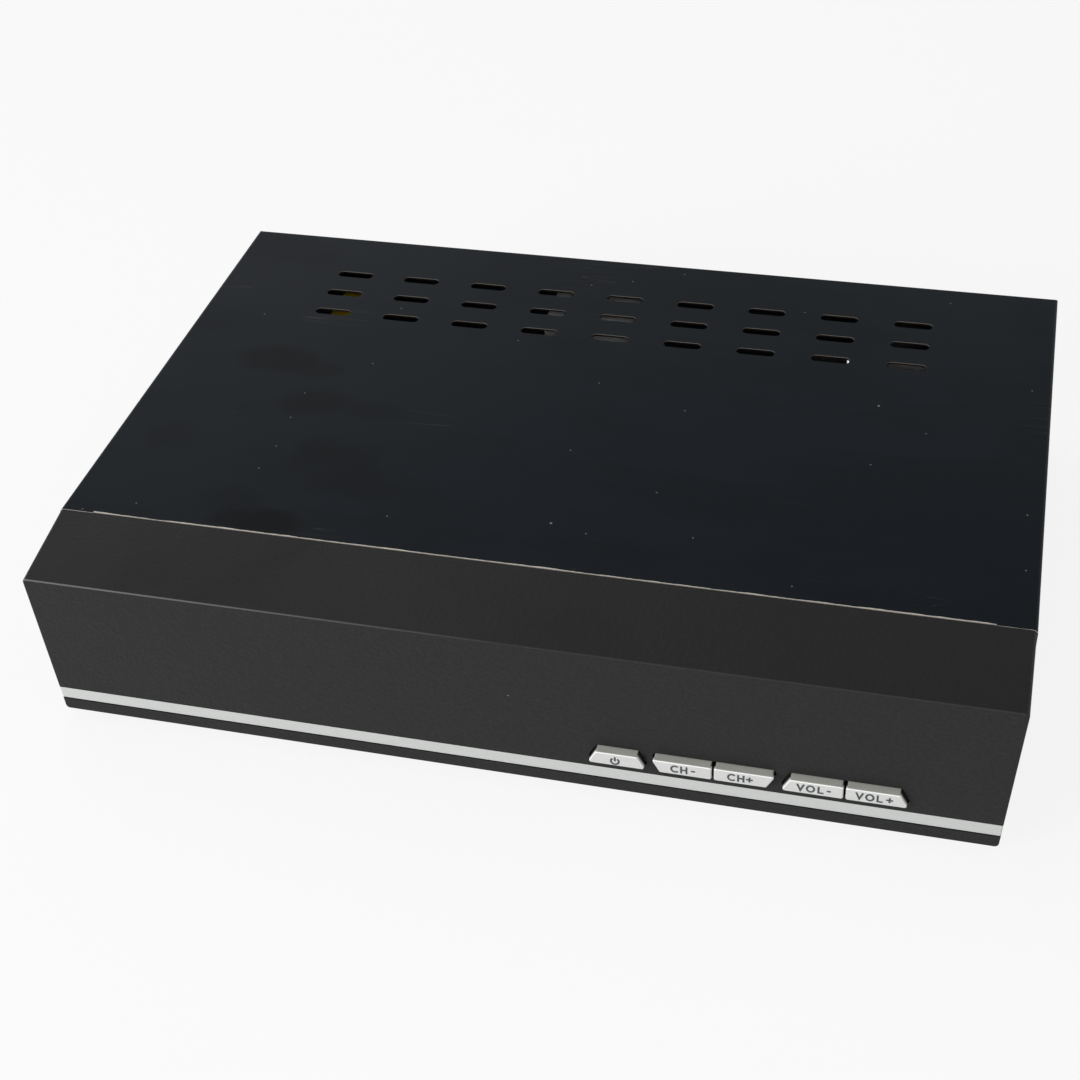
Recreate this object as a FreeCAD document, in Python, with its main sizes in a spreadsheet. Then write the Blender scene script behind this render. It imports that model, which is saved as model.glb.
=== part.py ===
import FreeCAD, Part
import math
import os
import re

import Sketcher

# A set-top satellite receiver: steel tray and cover, moulded front panel, five keys, two boards.
# Millimetres. x to the right, y to the rear, z up. Inside this file every piece is drawn with
# y = 0 on the panel's face and z = 0 on the tray's underside; place() then moves it so that the
# origin is under the middle of the whole receiver, on the surface that its feet stand on.

sizes = {
    # case
    "case_width": 222.0,
    "case_depth": 153.2,
    "case_height": 43.2,
    "sheet_gap": 0.2,
    "cut_over": 1.0,
    # cover
    "cover_sheet": 0.6,
    "cover_bend": 1.1,
    "cover_lift": 0.5,
    "rear_flange": 8.5,
    "corner_slit": 1.2,
    "ear_width": 8.5,
    "edge_setback": 0.3,
    "vent_columns": 9,
    "vent_rows": 3,
    "vent_column_pitch": 18.87,
    "vent_row_pitch": 9.55,
    "vent_length": 9.8,
    "vent_width": 2.8,
    "vent_rear_margin": 19.3,
    # tray
    "tray_sheet": 0.8,
    "tray_bend": 1.2,
    "side_flange": 15.0,
    "rear_return": 6.0,
    "standoff_radius": 4.0,
    "standoff_height": 4.7,
    "floor_slot_columns": 5,
    "floor_slot_rows": 3,
    "floor_slot_column_pitch": 18.0,
    "floor_slot_row_pitch": 9.0,
    "floor_slot_length": 12.0,
    "floor_slot_width": 2.6,
    "floor_slot_rear": 57.2,
    "port_clearance": 0.5,
    # feet
    "foot_height": 2.5,
    "foot_radius": 7.0,
    "foot_taper": 1.0,
    "foot_dimple": 3.0,
    "dimple_depth": 0.8,
    "foot_side_margin": 20.0,
    "foot_front": 42.0,
    "foot_rear_margin": 16.0,
    # front panel
    "slope_depth": 21.9,
    "slope_rise": 3.2,
    "panel_inset_top": 0.15,
    "panel_inset_low": 2.3,
    "panel_wall": 2.0,
    "panel_round": 0.4,
    "panel_corner": 1.0,
    "ledge_depth": 4.0,
    "rib_thickness": 1.2,
    "rib_depth": 6.0,
    "rib_margin": 20.0,
    "rib_pitch": 25.0,
    "rib_count": 4,
    "hook_width": 8.0,
    "hook_thickness": 1.5,
    "hook_barb": 1.2,
    "hook_slope": 2.0,
    "hook_root": 3.0,
    "hook_gap": 0.4,
    "hook_pitch": 70.0,
    "hook_count": 3,
    "post_radius": 3.0,
    "post_margin": 7.5,
    "post_height": 24.0,
    # trim strip
    "strip_low": 3.4,
    "strip_height": 3.5,
    "strip_thickness": 0.6,
    "strip_recess": 0.15,
    "strip_gap": 0.1,
    # keys
    "key_low": 9.75,
    "key_height": 3.5,
    "key_proud": 1.8,
    "key_slant": 1.85,
    "key_clearance": 0.45,
    "key_split": 0.5,
    "key_corner": 0.5,
    "key_edge": 0.3,
    "key_travel": 0.5,
    "keys_margin": 22.8,
    "power_key_width": 11.05,
    "pair_width": 25.15,
    "group_gap": 3.15,
    "flange_gap": 0.3,
    "flange_lip": 0.8,
    "flange_thickness": 1.2,
    "stem_radius": 1.5,
    "stem_length": 3.5,
    # key board and what it carries
    "board_thickness": 1.6,
    "key_board_low": 5.5,
    "key_board_high": 34.0,
    "key_board_margin": 11.0,
    "boss_radius": 2.6,
    "boss_inset": 4.0,
    "switch_size": 6.0,
    "switch_depth": 3.5,
    "plunger_radius": 1.75,
    "plunger_reach": 1.5,
    "plunger_seat": 1.6,
    "plunger_clearance": 0.15,
    "receiver_width": 6.0,
    "receiver_height": 7.0,
    "receiver_depth": 4.0,
    "receiver_dome": 2.4,
    "receiver_z": 25.0,
    "lamp_radius": 1.5,
    "lamp_length": 5.0,
    "lamp_z": 24.0,
    # screws
    "screw_radius": 1.4,
    "screw_head": 2.8,
    "screw_head_height": 1.4,
    "screw_length": 5.5,
    "screw_pilot": 1.45,
    "screw_hole": 1.7,
    "cover_screw_margin": 15.0,
    "side_screw_front": 50.0,
    "side_screw_rear_margin": 22.0,
    "side_screw_z": 8.5,
    # boards
    "board_side_margin": 4.0,
    "board_rear_margin": 1.5,
    "board_gap": 6.0,
    "board_screw_inset": 5.0,
    "power_board_width": 52.0,
    "power_board_lead": 15.3,
    "main_board_lead": 35.3,
    # rear sockets
    "aerial_pitch": 19.0,
    "aerial_radius": 4.75,
    "aerial_bore": 3.7,
    "aerial_core": 0.7,
    "aerial_reach": 11.0,
    "aerial_z": 18.0,
    "aerial_nut": 5.5,
    "aerial_nut_height": 2.2,
    "aerial_hole": 5.2,
    "socket_gap": 2.2,
    "audio_gap": 5.0,
    "tuner_width": 30.0,
    "tuner_depth": 17.0,
    "tuner_height": 26.0,
    "tuner_sheet": 0.4,
    "video_width": 15.0,
    "video_height": 5.6,
    "video_depth": 11.0,
    "video_shoulder": 2.0,
    "video_tongue_width": 11.2,
    "video_tongue_thickness": 1.1,
    "shell_thickness": 0.4,
    "tongue_root": 1.6,
    "insert_gap": 0.05,
    "audio_z": 14.0,
    "audio_body_width": 10.0,
    "audio_body_height": 12.0,
    "audio_body_depth": 12.0,
    "audio_radius": 4.15,
    "audio_bore": 3.5,
    "audio_core": 1.6,
    "audio_reach": 8.5,
    "data_width": 13.2,
    "data_height": 5.8,
    "data_depth": 14.0,
    "data_tongue_width": 10.8,
    "data_tongue_thickness": 1.7,
    "network_width": 16.0,
    "network_height": 13.4,
    "network_depth": 20.0,
    "network_mouth_width": 11.8,
    "network_mouth_height": 7.0,
    "network_mouth_low": 4.3,
    "network_mouth_depth": 13.0,
    "network_notch_width": 6.2,
    "network_notch_height": 1.6,
    "network_pin_pitch": 1.02,
    "network_pin_width": 0.45,
    "network_pin_length": 8.7,
    "network_pins": 8,
    "av_margin": 4.0,
    "av_width": 46.0,
    "av_height": 13.0,
    "av_depth": 18.0,
    "av_slant": 4.0,
    "av_proud": 1.2,
    "av_groove": 1.5,
    "av_rim": 1.2,
    "av_groove_depth": 9.0,
    "av_slots": 10,
    "av_slot_pitch": 3.8,
    "av_slot_width": 1.0,
    "av_slot_height": 3.2,
    "av_slot_depth": 7.0,
    "av_row_rise": 2.2,
    "inlet_inset": 10.0,
    "inlet_width": 19.0,
    "inlet_height": 12.5,
    "inlet_depth": 15.0,
    "inlet_proud": 1.2,
    "inlet_flange": 1.6,
    "inlet_z": 15.0,
    "inlet_mouth_width": 14.6,
    "inlet_mouth_height": 8.2,
    "inlet_mouth_depth": 11.0,
    "inlet_pin_pitch": 8.6,
    "inlet_pin_radius": 1.2,
    "inlet_pin_length": 9.0,
    "inlet_pin_root": 2.0,
    # main board parts
    "decoder_inset": 65.2,
    "decoder_rear": 57.9,
    "decoder_size": 23.0,
    "decoder_height": 2.2,
    "sink_size": 27.0,
    "sink_base": 2.0,
    "sink_fin_height": 8.0,
    "sink_fin_thickness": 1.2,
    "sink_fins": 7,
    "memory_width": 11.0,
    "memory_depth": 8.0,
    "memory_height": 1.1,
    "memory_pitch": 14.0,
    "memory_gap": 8.0,
    "board_can_radius": 3.2,
    "board_can_height": 11.0,
    "board_can_pitch": 12.0,
    "board_cans": 5,
    "board_can_front": 10.1,
    "board_can_inset": 17.2,
    "coil_radius": 3.5,
    "coil_height": 5.0,
    "coil_waist": 2.2,
    "coil_rim": 1.0,
    "coil_pitch": 13.0,
    "coil_front": 22.1,
    "coil_inset": 19.2,
    "coils": 3,
    # power board parts
    "transformer_inset": 29.2,
    "transformer_rear": 16.4,
    "core_width": 18.0,
    "core_depth": 22.0,
    "core_height": 15.0,
    "core_leg": 3.0,
    "core_lift": 4.0,
    "winding_gap": 0.3,
    "winding_low": 1.5,
    "winding_height": 26.0,
    "winding_round": 2.0,
    "mains_can_inset": 15.2,
    "mains_can_rear": 54.9,
    "mains_can_radius": 8.0,
    "mains_can_height": 27.0,
    "x_can_inset": 12.2,
    "x_can_front": 17.1,
    "x_can_width": 8.5,
    "x_can_depth": 16.0,
    "x_can_height": 15.0,
    "choke_inset": 33.2,
    "choke_front": 18.1,
    "choke_radius": 7.0,
    "choke_wire": 3.2,
    "fuse_inset": 25.2,
    "fuse_front": 4.5,
    "fuse_radius": 2.6,
    "fuse_length": 20.0,
    "fuse_lift": 2.4,
    "clip_length": 5.0,
    "clip_width": 7.0,
    "output_can_inset": 5.3,
    "output_can_rear": 49.9,
    "output_can_radius": 4.0,
    "output_can_height": 19.0,
    "output_can_pitch": 10.5,
    "output_cans": 3,
    "plate_gap": 0.8,
    "plate_rear": 69.9,
    "plate_width": 24.5,
    "plate_height": 23.0,
    "plate_thickness": 2.0,
    "plate_fin": 6.0,
    "insulation_thickness": 0.4,
    "insulation_margin": 1.5,
    "insulation_wall": 24.0,
    # leads
    "plug_width": 10.5,
    "plug_depth": 6.0,
    "plug_height": 7.0,
    "ribbon_width": 8.0,
    "ribbon_thickness": 1.2,
    "ribbon_inset": 33.2,
    "ribbon_front": 16.1,
    "ribbon_z": 20.0,
    "ribbon_rise": 8.0,
    "ribbon_reach": 30.0,
    "wire_radius": 0.7,
    "wire_pitch": 2.2,
    "wires": 4,
    "lead_rear": 39.9,
    "lead_rise": 16.0,
    "lead_inset": 6.0,
}

# Places worked out from the sizes above.
places = {
    "half_width": "case_width / 2",
    "tray_half": "half_width - cover_sheet - sheet_gap",
    "tray_rear": "case_depth - cover_sheet - sheet_gap",
    "tray_front": "slope_depth + ledge_depth + sheet_gap",
    "tray_top": "case_height - cover_sheet - sheet_gap",
    "rear_inside": "tray_rear - tray_sheet",
    "front_inside": "tray_front + tray_sheet",
    "front_wall_top": "case_height - panel_wall - hook_thickness - hook_gap",
    "side_screw_rear": "case_depth - side_screw_rear_margin",
    "vent_rear": "case_depth - vent_rear_margin",
    "panel_half_top": "half_width - panel_inset_top",
    "panel_half_low": "half_width - panel_inset_low",
    "panel_taper": "(panel_half_top - panel_half_low) / case_height",
    "edge_height": "case_height - slope_rise",
    "post_x": "half_width - post_margin",
    "rib_first": "rib_margin - half_width",
    "cover_screw_reach": "half_width - cover_screw_margin",
    "strip_high": "strip_low + strip_height",
    "groove_depth": "strip_thickness + strip_recess",
    "key_high": "key_low + key_height",
    "key_middle": "key_low + key_height / 2",
    "flange_front": "panel_wall + flange_gap",
    "flange_rear": "flange_front + flange_thickness",
    "stem_tip": "flange_rear + stem_length",
    "switch_front": "stem_tip + plunger_reach",
    "key_board_front": "switch_front + switch_depth",
    "key_board_rear": "key_board_front + board_thickness",
    "volume_x": "half_width - keys_margin - pair_width / 2",
    "channel_x": "volume_x - pair_width - group_gap",
    "power_key_x": "channel_x - pair_width / 2 - group_gap - power_key_width / 2",
    "receiver_x": "(channel_x + volume_x) / 2",
    "key_board_left": "power_key_x - power_key_width / 2 - key_board_margin",
    "key_board_right": "volume_x + pair_width / 2 + key_board_margin",
    "board_level": "tray_sheet + standoff_height",
    "board_top": "board_level + board_thickness",
    "board_rear": "rear_inside - board_rear_margin",
    "board_left": "-tray_half + board_side_margin",
    "board_right": "tray_half - board_side_margin",
    "main_board_left": "board_left + power_board_width + board_gap",
    "main_board_front": "front_inside + main_board_lead",
    "power_board_front": "front_inside + power_board_lead",
    "power_board_right": "board_left + power_board_width",
    "tuner_rear": "rear_inside - sheet_gap",
    "av_x": "tray_half - av_margin - av_width / 2",
    "network_x": "av_x - av_width / 2 - socket_gap - network_width / 2",
    "data_x": "network_x - network_width / 2 - socket_gap - data_width / 2",
    "video_x": "data_x - data_width / 2 - socket_gap - video_width / 2",
    "tuner_x": "video_x - video_width / 2 - socket_gap - tuner_width / 2",
    "audio_x": "tuner_x - tuner_width / 2 - audio_gap - audio_body_width / 2",
    "inlet_x": "board_left + inlet_inset",
    "aerial_tip": "tray_rear + aerial_reach",
    "front_y": "(key_proud - aerial_tip) / 2",
    "foot_x": "half_width - foot_side_margin",
    "foot_rear": "case_depth - foot_rear_margin",
    "sink_level": "board_top + decoder_height",
    "decoder_x": "board_right - decoder_inset",
    "decoder_y": "board_rear - decoder_rear",
    "board_can_first": "main_board_left + board_can_inset",
    "board_can_row": "main_board_front + board_can_front",
    "coil_first": "main_board_left + coil_inset",
    "coil_row": "main_board_front + coil_front",
    "transformer_x": "board_left + transformer_inset",
    "transformer_y": "board_rear - transformer_rear",
    "mains_can_x": "board_left + mains_can_inset",
    "mains_can_y": "board_rear - mains_can_rear",
    "x_can_x": "board_left + x_can_inset",
    "x_can_y": "power_board_front + x_can_front",
    "choke_x": "board_left + choke_inset",
    "choke_y": "power_board_front + choke_front",
    "fuse_x": "board_left + fuse_inset",
    "fuse_y": "power_board_front + fuse_front",
    "output_can_x": "power_board_right - output_can_inset",
    "output_can_y": "board_rear - output_can_rear",
    "plate_x": "output_can_x - output_can_radius - plate_gap - plate_width / 2",
    "plate_y": "board_rear - plate_rear",
    "winding_width": "core_width - 2 * core_leg - 2 * winding_gap",
    "winding_depth": "core_depth - 2 * core_leg - 2 * winding_gap",
    "inlet_front": "tray_rear - inlet_depth",
    "lead_y": "board_rear - lead_rear",
    "ribbon_x": "board_right - ribbon_inset",
    "ribbon_board_y": "main_board_front + ribbon_front",
    "lead_from": "power_board_right - lead_inset",
    "lead_to": "main_board_left + lead_inset",
    "mouth_inner": "tray_rear + inlet_proud - inlet_mouth_depth",
}

doc = FreeCAD.newDocument("receiver")
sheet = doc.addObject("Spreadsheet::Sheet", "Sizes")
for row, (alias, number) in enumerate(sizes.items(), 1):
    sheet.set(f"A{row}", alias)
    sheet.set(f"B{row}", str(number))
    sheet.setAlias(f"B{row}", alias)
doc.recompute()

near = 0.01
bend_ratio = 0.45
pieces = {}
primitives = ("Part::Box", "Part::Cylinder", "Part::Torus")
planes = {"x": "YZ_Plane", "y": "XZ_Plane", "z": "XY_Plane"}
axes = {"x": "X_Axis", "y": "Y_Axis", "z": "Z_Axis"}
turns = {
    "x": FreeCAD.Rotation(FreeCAD.Vector(0, 1, 0), 90),
    "y": FreeCAD.Rotation(FreeCAD.Vector(1, 0, 0), -90),
    "z": FreeCAD.Rotation(),
}


# ---- expressions ----

def bound(text):
    """The expression with each word swapped for its cell or for its formula."""
    def swap(match):
        word = match[0]
        if word in places:
            return "(" + bound(places[word]) + ")"
        return "Sizes." + word if word in sizes else word
    return re.sub(r"[a-z_][a-z_0-9]*", swap, text)


def value(text):
    return float(sheet.evalExpression(bound(text)))


def count(name):
    return int(round(value(name)))


def bind(item, **links):
    for field, text in links.items():
        item.setExpression(field.replace("__", "."), bound(text))
    return item


def place(item, x="0", y="0", z="0"):
    return bind(item, Placement__Base__x=x, Placement__Base__y=f"front_y + {y}",
                Placement__Base__z=f"foot_height + {z}")


def piece(node, item, x="0", y="0", z="0"):
    """Names a finished sub-part and moves it into the receiver's frame."""
    if item.TypeId in primitives:
        item = group([item])
    doc.recompute()
    item.Label = node
    pieces[node] = place(item, x, y, z)


# ---- sketches and features of a body ----

def new_body():
    return doc.addObject("PartDesign::Body", "Body")


def origin(body, role):
    return next(item for item in body.Origin.OriginFeatures if item.Role == role)


def sketch(body, axis, at="0"):
    """A sketch square to an axis. The plane square to y faces forward, so its offset is turned."""
    drawing = body.newObject("Sketcher::SketchObject", "Sketch")
    drawing.AttachmentSupport = (origin(body, planes[axis]), [""])
    drawing.MapMode = "FlatFace"
    drawing.setExpression("AttachmentOffset.Base.z", bound(f"-({at})" if axis == "y" else at))
    return drawing


def pin(drawing, item, end, point):
    for kind, text in zip(("DistanceX", "DistanceY"), point):
        rule = drawing.addConstraint(Sketcher.Constraint(kind, -1, 1, item, end, value(text)))
        drawing.setExpression(f"Constraints[{rule}]", bound(text))


def polygon(drawing, points):
    first = drawing.GeometryCount
    corners = [FreeCAD.Vector(value(x), value(y), 0) for x, y in points]
    for start, end in zip(corners, corners[1:] + corners[:1]):
        drawing.addGeometry(Part.LineSegment(start, end))
    for n, point in enumerate(points):
        after = first + (n + 1) % len(points)
        drawing.addConstraint(Sketcher.Constraint("Coincident", first + n, 2, after, 1))
        pin(drawing, first + n, 1, point)


def rectangle(drawing, across, up):
    polygon(drawing, [(across[0], up[0]), (across[1], up[0]), (across[1], up[1]), (across[0], up[1])])


def circle(drawing, centre, radius):
    spot = FreeCAD.Vector(value(centre[0]), value(centre[1]), 0)
    item = drawing.addGeometry(Part.Circle(spot, FreeCAD.Vector(0, 0, 1), value(radius)))
    pin(drawing, item, 3, centre)
    rule = drawing.addConstraint(Sketcher.Constraint("Radius", item, value(radius)))
    drawing.setExpression(f"Constraints[{rule}]", bound(radius))


def stadium(drawing, centre, length, width):
    """A slot with round ends: two half circles joined by tangent lines."""
    reach = f"({length} - {width}) / 2"
    x, y, half, radius = (value(text) for text in (centre[0], centre[1], reach, f"{width} / 2"))
    first = drawing.GeometryCount
    quarter = FreeCAD.Vector(0, 1, 0).getAngle(FreeCAD.Vector(1, 0, 0))
    for side, turn in ((-1, quarter), (1, -quarter)):
        ring = Part.Circle(FreeCAD.Vector(x + side * half, y, 0), FreeCAD.Vector(0, 0, 1), radius)
        drawing.addGeometry(Part.ArcOfCircle(ring, turn, turn + 2 * quarter))
    for side in (-1, 1):
        start = FreeCAD.Vector(x + side * half, y + side * radius, 0)
        end = FreeCAD.Vector(x - side * half, y + side * radius, 0)
        drawing.addGeometry(Part.LineSegment(start, end))
    left, right, low, high = range(first, first + 4)
    for joint in ((left, 2, low, 1), (low, 2, right, 1), (right, 2, high, 1), (high, 2, left, 1)):
        drawing.addConstraint(Sketcher.Constraint("Tangent", *joint))
    for item, sign in ((left, "-"), (right, "+")):
        pin(drawing, item, 3, (f"{centre[0]} {sign} {reach}", centre[1]))
        rule = drawing.addConstraint(Sketcher.Constraint("Radius", item, radius))
        drawing.setExpression(f"Constraints[{rule}]", bound(f"{width} / 2"))


def feature(body, kind, profile, length, reverse):
    item = body.newObject("PartDesign::" + kind, kind)
    item.Profile = profile
    item.Reversed = reverse
    bind(item, Length=length)
    doc.recompute()
    return item


def pad(body, profile, length, reverse=False):
    """Grows along the sketch's normal. A sketch square to y grows to the rear when reversed."""
    return feature(body, "Pad", profile, length, reverse)


def pocket(body, profile, length, reverse=False):
    """Cuts against the sketch's normal, so to the rear from a sketch square to y."""
    before = body.Shape.Volume
    item = feature(body, "Pocket", profile, length, reverse)
    if body.Shape.Volume > before - near:
        raise ValueError(f"{item.Name} in {body.Name} cuts nothing")
    return item


def lies(shape, **at):
    """True where the shape is flat in each named direction and lies at the given place."""
    box = shape.BoundBox
    return all(abs(getattr(box, axis.upper() + end) - value(text)) < near
               for axis, text in at.items() for end in ("Min", "Max"))


def edges(item, *spots):
    return [f"Edge{n}" for n, edge in enumerate(item.Shape.Edges, 1)
            if any(lies(edge, **at) for at in spots)]


def faces(item, *spots):
    return [f"Face{n}" for n, face in enumerate(item.Shape.Faces, 1)
            if any(lies(face, **at) for at in spots)]


def fillet(body, base, names, radius):
    item = body.newObject("PartDesign::Fillet", "Fillet")
    item.Base = (base, names)
    bind(item, Radius=radius)
    doc.recompute()
    return item


def shell(body, base, open_faces, wall):
    """Hollows the solid, leaving a wall inside its outer faces."""
    item = body.newObject("PartDesign::Thickness", "Thickness")
    item.Base = (base, open_faces)
    item.Reversed = True
    item.Mode = 0
    item.Join = 0
    bind(item, Value=wall)
    doc.recompute()
    return item


def pattern(body, originals, *runs):
    """Repeats features along one or two axes: each run is (axis, copies, spacing)."""
    grid = body.newObject("PartDesign::MultiTransform", "Grid")
    grid.Originals = originals
    steps = []
    for axis, copies, spacing in runs:
        step = body.newObject("PartDesign::LinearPattern", "Run")
        step.Direction = (origin(body, axes[axis]), [""])
        bind(step, Occurrences=copies, Length=f"({copies} - 1) * {spacing}")
        steps.append(step)
    grid.Transformations = steps
    body.Tip = grid
    doc.recompute()
    return grid


def turned(points):
    """A body turned about its y axis from an outline of (radius, along) points."""
    body = new_body()
    profile = sketch(body, "z")
    polygon(profile, points)
    item = body.newObject("PartDesign::Revolution", "Turned")
    item.Profile = profile
    item.ReferenceAxis = (profile, ["V_Axis"])
    doc.recompute()
    return body


# ---- primitives ----

def block(x, y, z):
    """A box between two places along each axis."""
    item = doc.addObject("Part::Box", "Box")
    for field, axis, (low, high) in zip(("Length", "Width", "Height"), "xyz", (x, y, z)):
        bind(item, **{field: f"({high}) - ({low})", "Placement__Base__" + axis: low})
    return item


def brick(centre, width, depth, low, height):
    """A box by the middle of its plan, its plan sizes, its underside and its height."""
    x, y = centre
    return block((f"{x} - ({width}) / 2", f"{x} + ({width}) / 2"),
                 (f"{y} - ({depth}) / 2", f"{y} + ({depth}) / 2"), (low, f"{low} + {height}"))


def rod(at, radius, length, axis="z"):
    item = doc.addObject("Part::Cylinder", "Rod")
    item.Placement = FreeCAD.Placement(FreeCAD.Vector(), turns[axis])
    x, y, z = at
    return bind(item, Radius=radius, Height=length, Placement__Base__x=x, Placement__Base__y=y,
                Placement__Base__z=z)


def join(items):
    item = doc.addObject("Part::MultiFuse", "Join")
    item.Shapes = items
    return item


def group(items):
    """Several separate solids in one node."""
    item = doc.addObject("Part::Compound", "Group")
    item.Links = items
    return item


def cut(base, tool):
    item = doc.addObject("Part::Cut", "Cut")
    item.Base = base
    item.Tool = tool
    return item


def screw(at, axis, sign):
    """A pan head whose underside is at the given place, and a shank that goes in from there."""
    spot = dict(zip("xyz", at))
    head, shank = dict(spot), dict(spot)
    lower = "screw_head_height" if sign > 0 else "0"
    deeper = "0" if sign > 0 else "screw_length"
    head[axis] = f"{spot[axis]} - {lower}"
    shank[axis] = f"{spot[axis]} - {deeper}"
    return join([rod(tuple(head.values()), "screw_head", "screw_head_height", axis),
                 rod(tuple(shank.values()), "screw_radius", "screw_length", axis)])


# ---- case ----

def top_cover():
    """Folded sheet: top, two sides and a short rear flange, open below and in front."""
    body = new_body()
    plan = sketch(body, "z", "cover_lift")
    rectangle(plan, ("-half_width", "half_width"), ("slope_depth", "case_depth"))
    solid = pad(body, plan, "case_height - cover_lift")
    tops = edges(solid, {"z": "case_height", "x": "half_width"}, {"z": "case_height", "x": "-half_width"},
                 {"z": "case_height", "y": "case_depth"})
    bends = fillet(body, solid, tops, "cover_bend")
    shell(body, bends, faces(bends, {"z": "cover_lift"}, {"y": "slope_depth"}), "cover_sheet")
    cover_rear_trim(body)
    front = sketch(body, "z", "case_height")
    rectangle(front, ("-half_width + ear_width", "half_width - ear_width"),
              ("slope_depth - cut_over", "slope_depth + edge_setback"))
    pocket(body, front, "cover_sheet + cut_over")
    rear_holes = sketch(body, "y", "tray_rear")
    for x in ("-cover_screw_reach", "0", "cover_screw_reach"):
        circle(rear_holes, (x, "case_height - rear_flange / 2"), "screw_hole")
    pocket(body, rear_holes, "cover_sheet + cut_over")
    side_holes = sketch(body, "x", "half_width + cut_over")
    for y in ("side_screw_front", "side_screw_rear"):
        circle(side_holes, (y, "side_screw_z"), "screw_hole")
    pocket(body, side_holes, "case_width + 2 * cut_over")
    vent = sketch(body, "z", "case_height")
    first = "-(vent_columns - 1) / 2 * vent_column_pitch", "vent_rear - (vent_rows - 1) * vent_row_pitch"
    stadium(vent, first, "vent_length", "vent_width")
    slot = pocket(body, vent, "cover_sheet + cut_over")
    pattern(body, [slot], ("x", "vent_columns", "vent_column_pitch"),
            ("y", "vent_rows", "vent_row_pitch"))
    piece("top_cover", body)


def cover_rear_trim(body):
    """Cuts the rear wall away below its flange and frees the flange's ends from the sides."""
    side = "half_width - cover_sheet"
    slit = f"{side} - corner_slit"
    low, flange, bend = "-cut_over", "case_height - rear_flange", "case_height - 2 * cover_bend"
    trim = sketch(body, "y", "case_depth - cover_sheet")
    polygon(trim, [(f"-({side})", low), (side, low), (side, bend), (slit, bend), (slit, flange),
                   (f"-({slit})", flange), (f"-({slit})", bend), (f"-({side})", bend)])
    pocket(body, trim, "cover_sheet + cut_over")


def base_chassis():
    """Folded tray: floor, low sides, a front wall and a full rear wall with the socket holes."""
    body = new_body()
    plan = sketch(body, "z")
    rectangle(plan, ("-tray_half", "tray_half"), ("tray_front", "tray_rear"))
    solid = pad(body, plan, "tray_top")
    lows = edges(solid, {"z": "0", "x": "tray_half"}, {"z": "0", "x": "-tray_half"},
                 {"z": "0", "y": "tray_front"}, {"z": "0", "y": "tray_rear"})
    bends = fillet(body, solid, lows, "tray_bend")
    shell(body, bends, faces(bends, {"z": "tray_top"}), "tray_sheet")
    sides = sketch(body, "x", "half_width")
    back = "rear_inside - rear_return"
    above = "tray_top + cut_over"
    polygon(sides, [("tray_front - cut_over", "front_wall_top"), ("front_inside", "front_wall_top"),
                    ("front_inside", "side_flange"), (back, "side_flange"), (back, above),
                    ("tray_front - cut_over", above)])
    pocket(body, sides, "case_width")
    tray_rear_holes(body)
    tray_front_holes(body)
    tray_floor(body)
    piece("base_chassis", body)


def tray_rear_holes(body):
    wall = sketch(body, "y", "rear_inside - sheet_gap / 2")
    room = "port_clearance"
    for x in ("tuner_x - aerial_pitch / 2", "tuner_x + aerial_pitch / 2"):
        circle(wall, (x, "aerial_z"), "aerial_hole")
    circle(wall, ("audio_x", "audio_z"), f"audio_radius + {room}")
    for name in ("video", "data", "network", "av"):
        across = (f"{name}_x - {name}_width / 2 - {room}", f"{name}_x + {name}_width / 2 + {room}")
        rectangle(wall, across, (f"board_top - {room}", f"board_top + {name}_height + {room}"))
    rectangle(wall, (f"inlet_x - inlet_width / 2 - {room}", f"inlet_x + inlet_width / 2 + {room}"),
              (f"inlet_z - inlet_height / 2 - {room}", f"inlet_z + inlet_height / 2 + {room}"))
    for x in ("-cover_screw_reach", "0", "cover_screw_reach"):
        circle(wall, (x, "case_height - rear_flange / 2"), "screw_pilot")
    pocket(body, wall, "tray_sheet + cut_over")
    sides = sketch(body, "x", "half_width")
    for y in ("side_screw_front", "side_screw_rear"):
        circle(sides, (y, "side_screw_z"), "screw_pilot")
    pocket(body, sides, "case_width")


def hook_places():
    return [f"({n} - (hook_count - 1) / 2) * hook_pitch" for n in range(count("hook_count"))]


def tray_front_holes(body):
    """Windows for the panel's lower hooks and the ribbon, and holes for the panel's screws."""
    wall = sketch(body, "y", "tray_front - sheet_gap / 2")
    for x in hook_places():
        rectangle(wall, (f"{x} - hook_width / 2 - hook_gap", f"{x} + hook_width / 2 + hook_gap"),
                  ("panel_wall - hook_gap", "panel_wall + hook_thickness + hook_barb + hook_gap"))
    rectangle(wall, ("ribbon_x - ribbon_width", "ribbon_x + ribbon_width"),
              ("ribbon_z - ribbon_width / 2", "ribbon_z + ribbon_width / 2"))
    for x in ("-post_x", "post_x"):
        circle(wall, (x, "post_height"), "screw_hole")
    pocket(body, wall, "tray_sheet + cut_over")


board_spans = {
    "power_board": ("board_left", "power_board_right", "power_board_front"),
    "main_board": ("main_board_left", "board_right", "main_board_front"),
}


def standoffs(*names):
    """Places of the pressed standoffs, four under each board."""
    inset = "board_screw_inset"
    spots = []
    for name in names or board_spans:
        left, right, front = board_spans[name]
        for x in (f"{left} + {inset}", f"{right} - {inset}"):
            spots += [(x, f"{front} + {inset}"), (x, f"board_rear - tuner_depth - {inset}")]
    return spots


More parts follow.
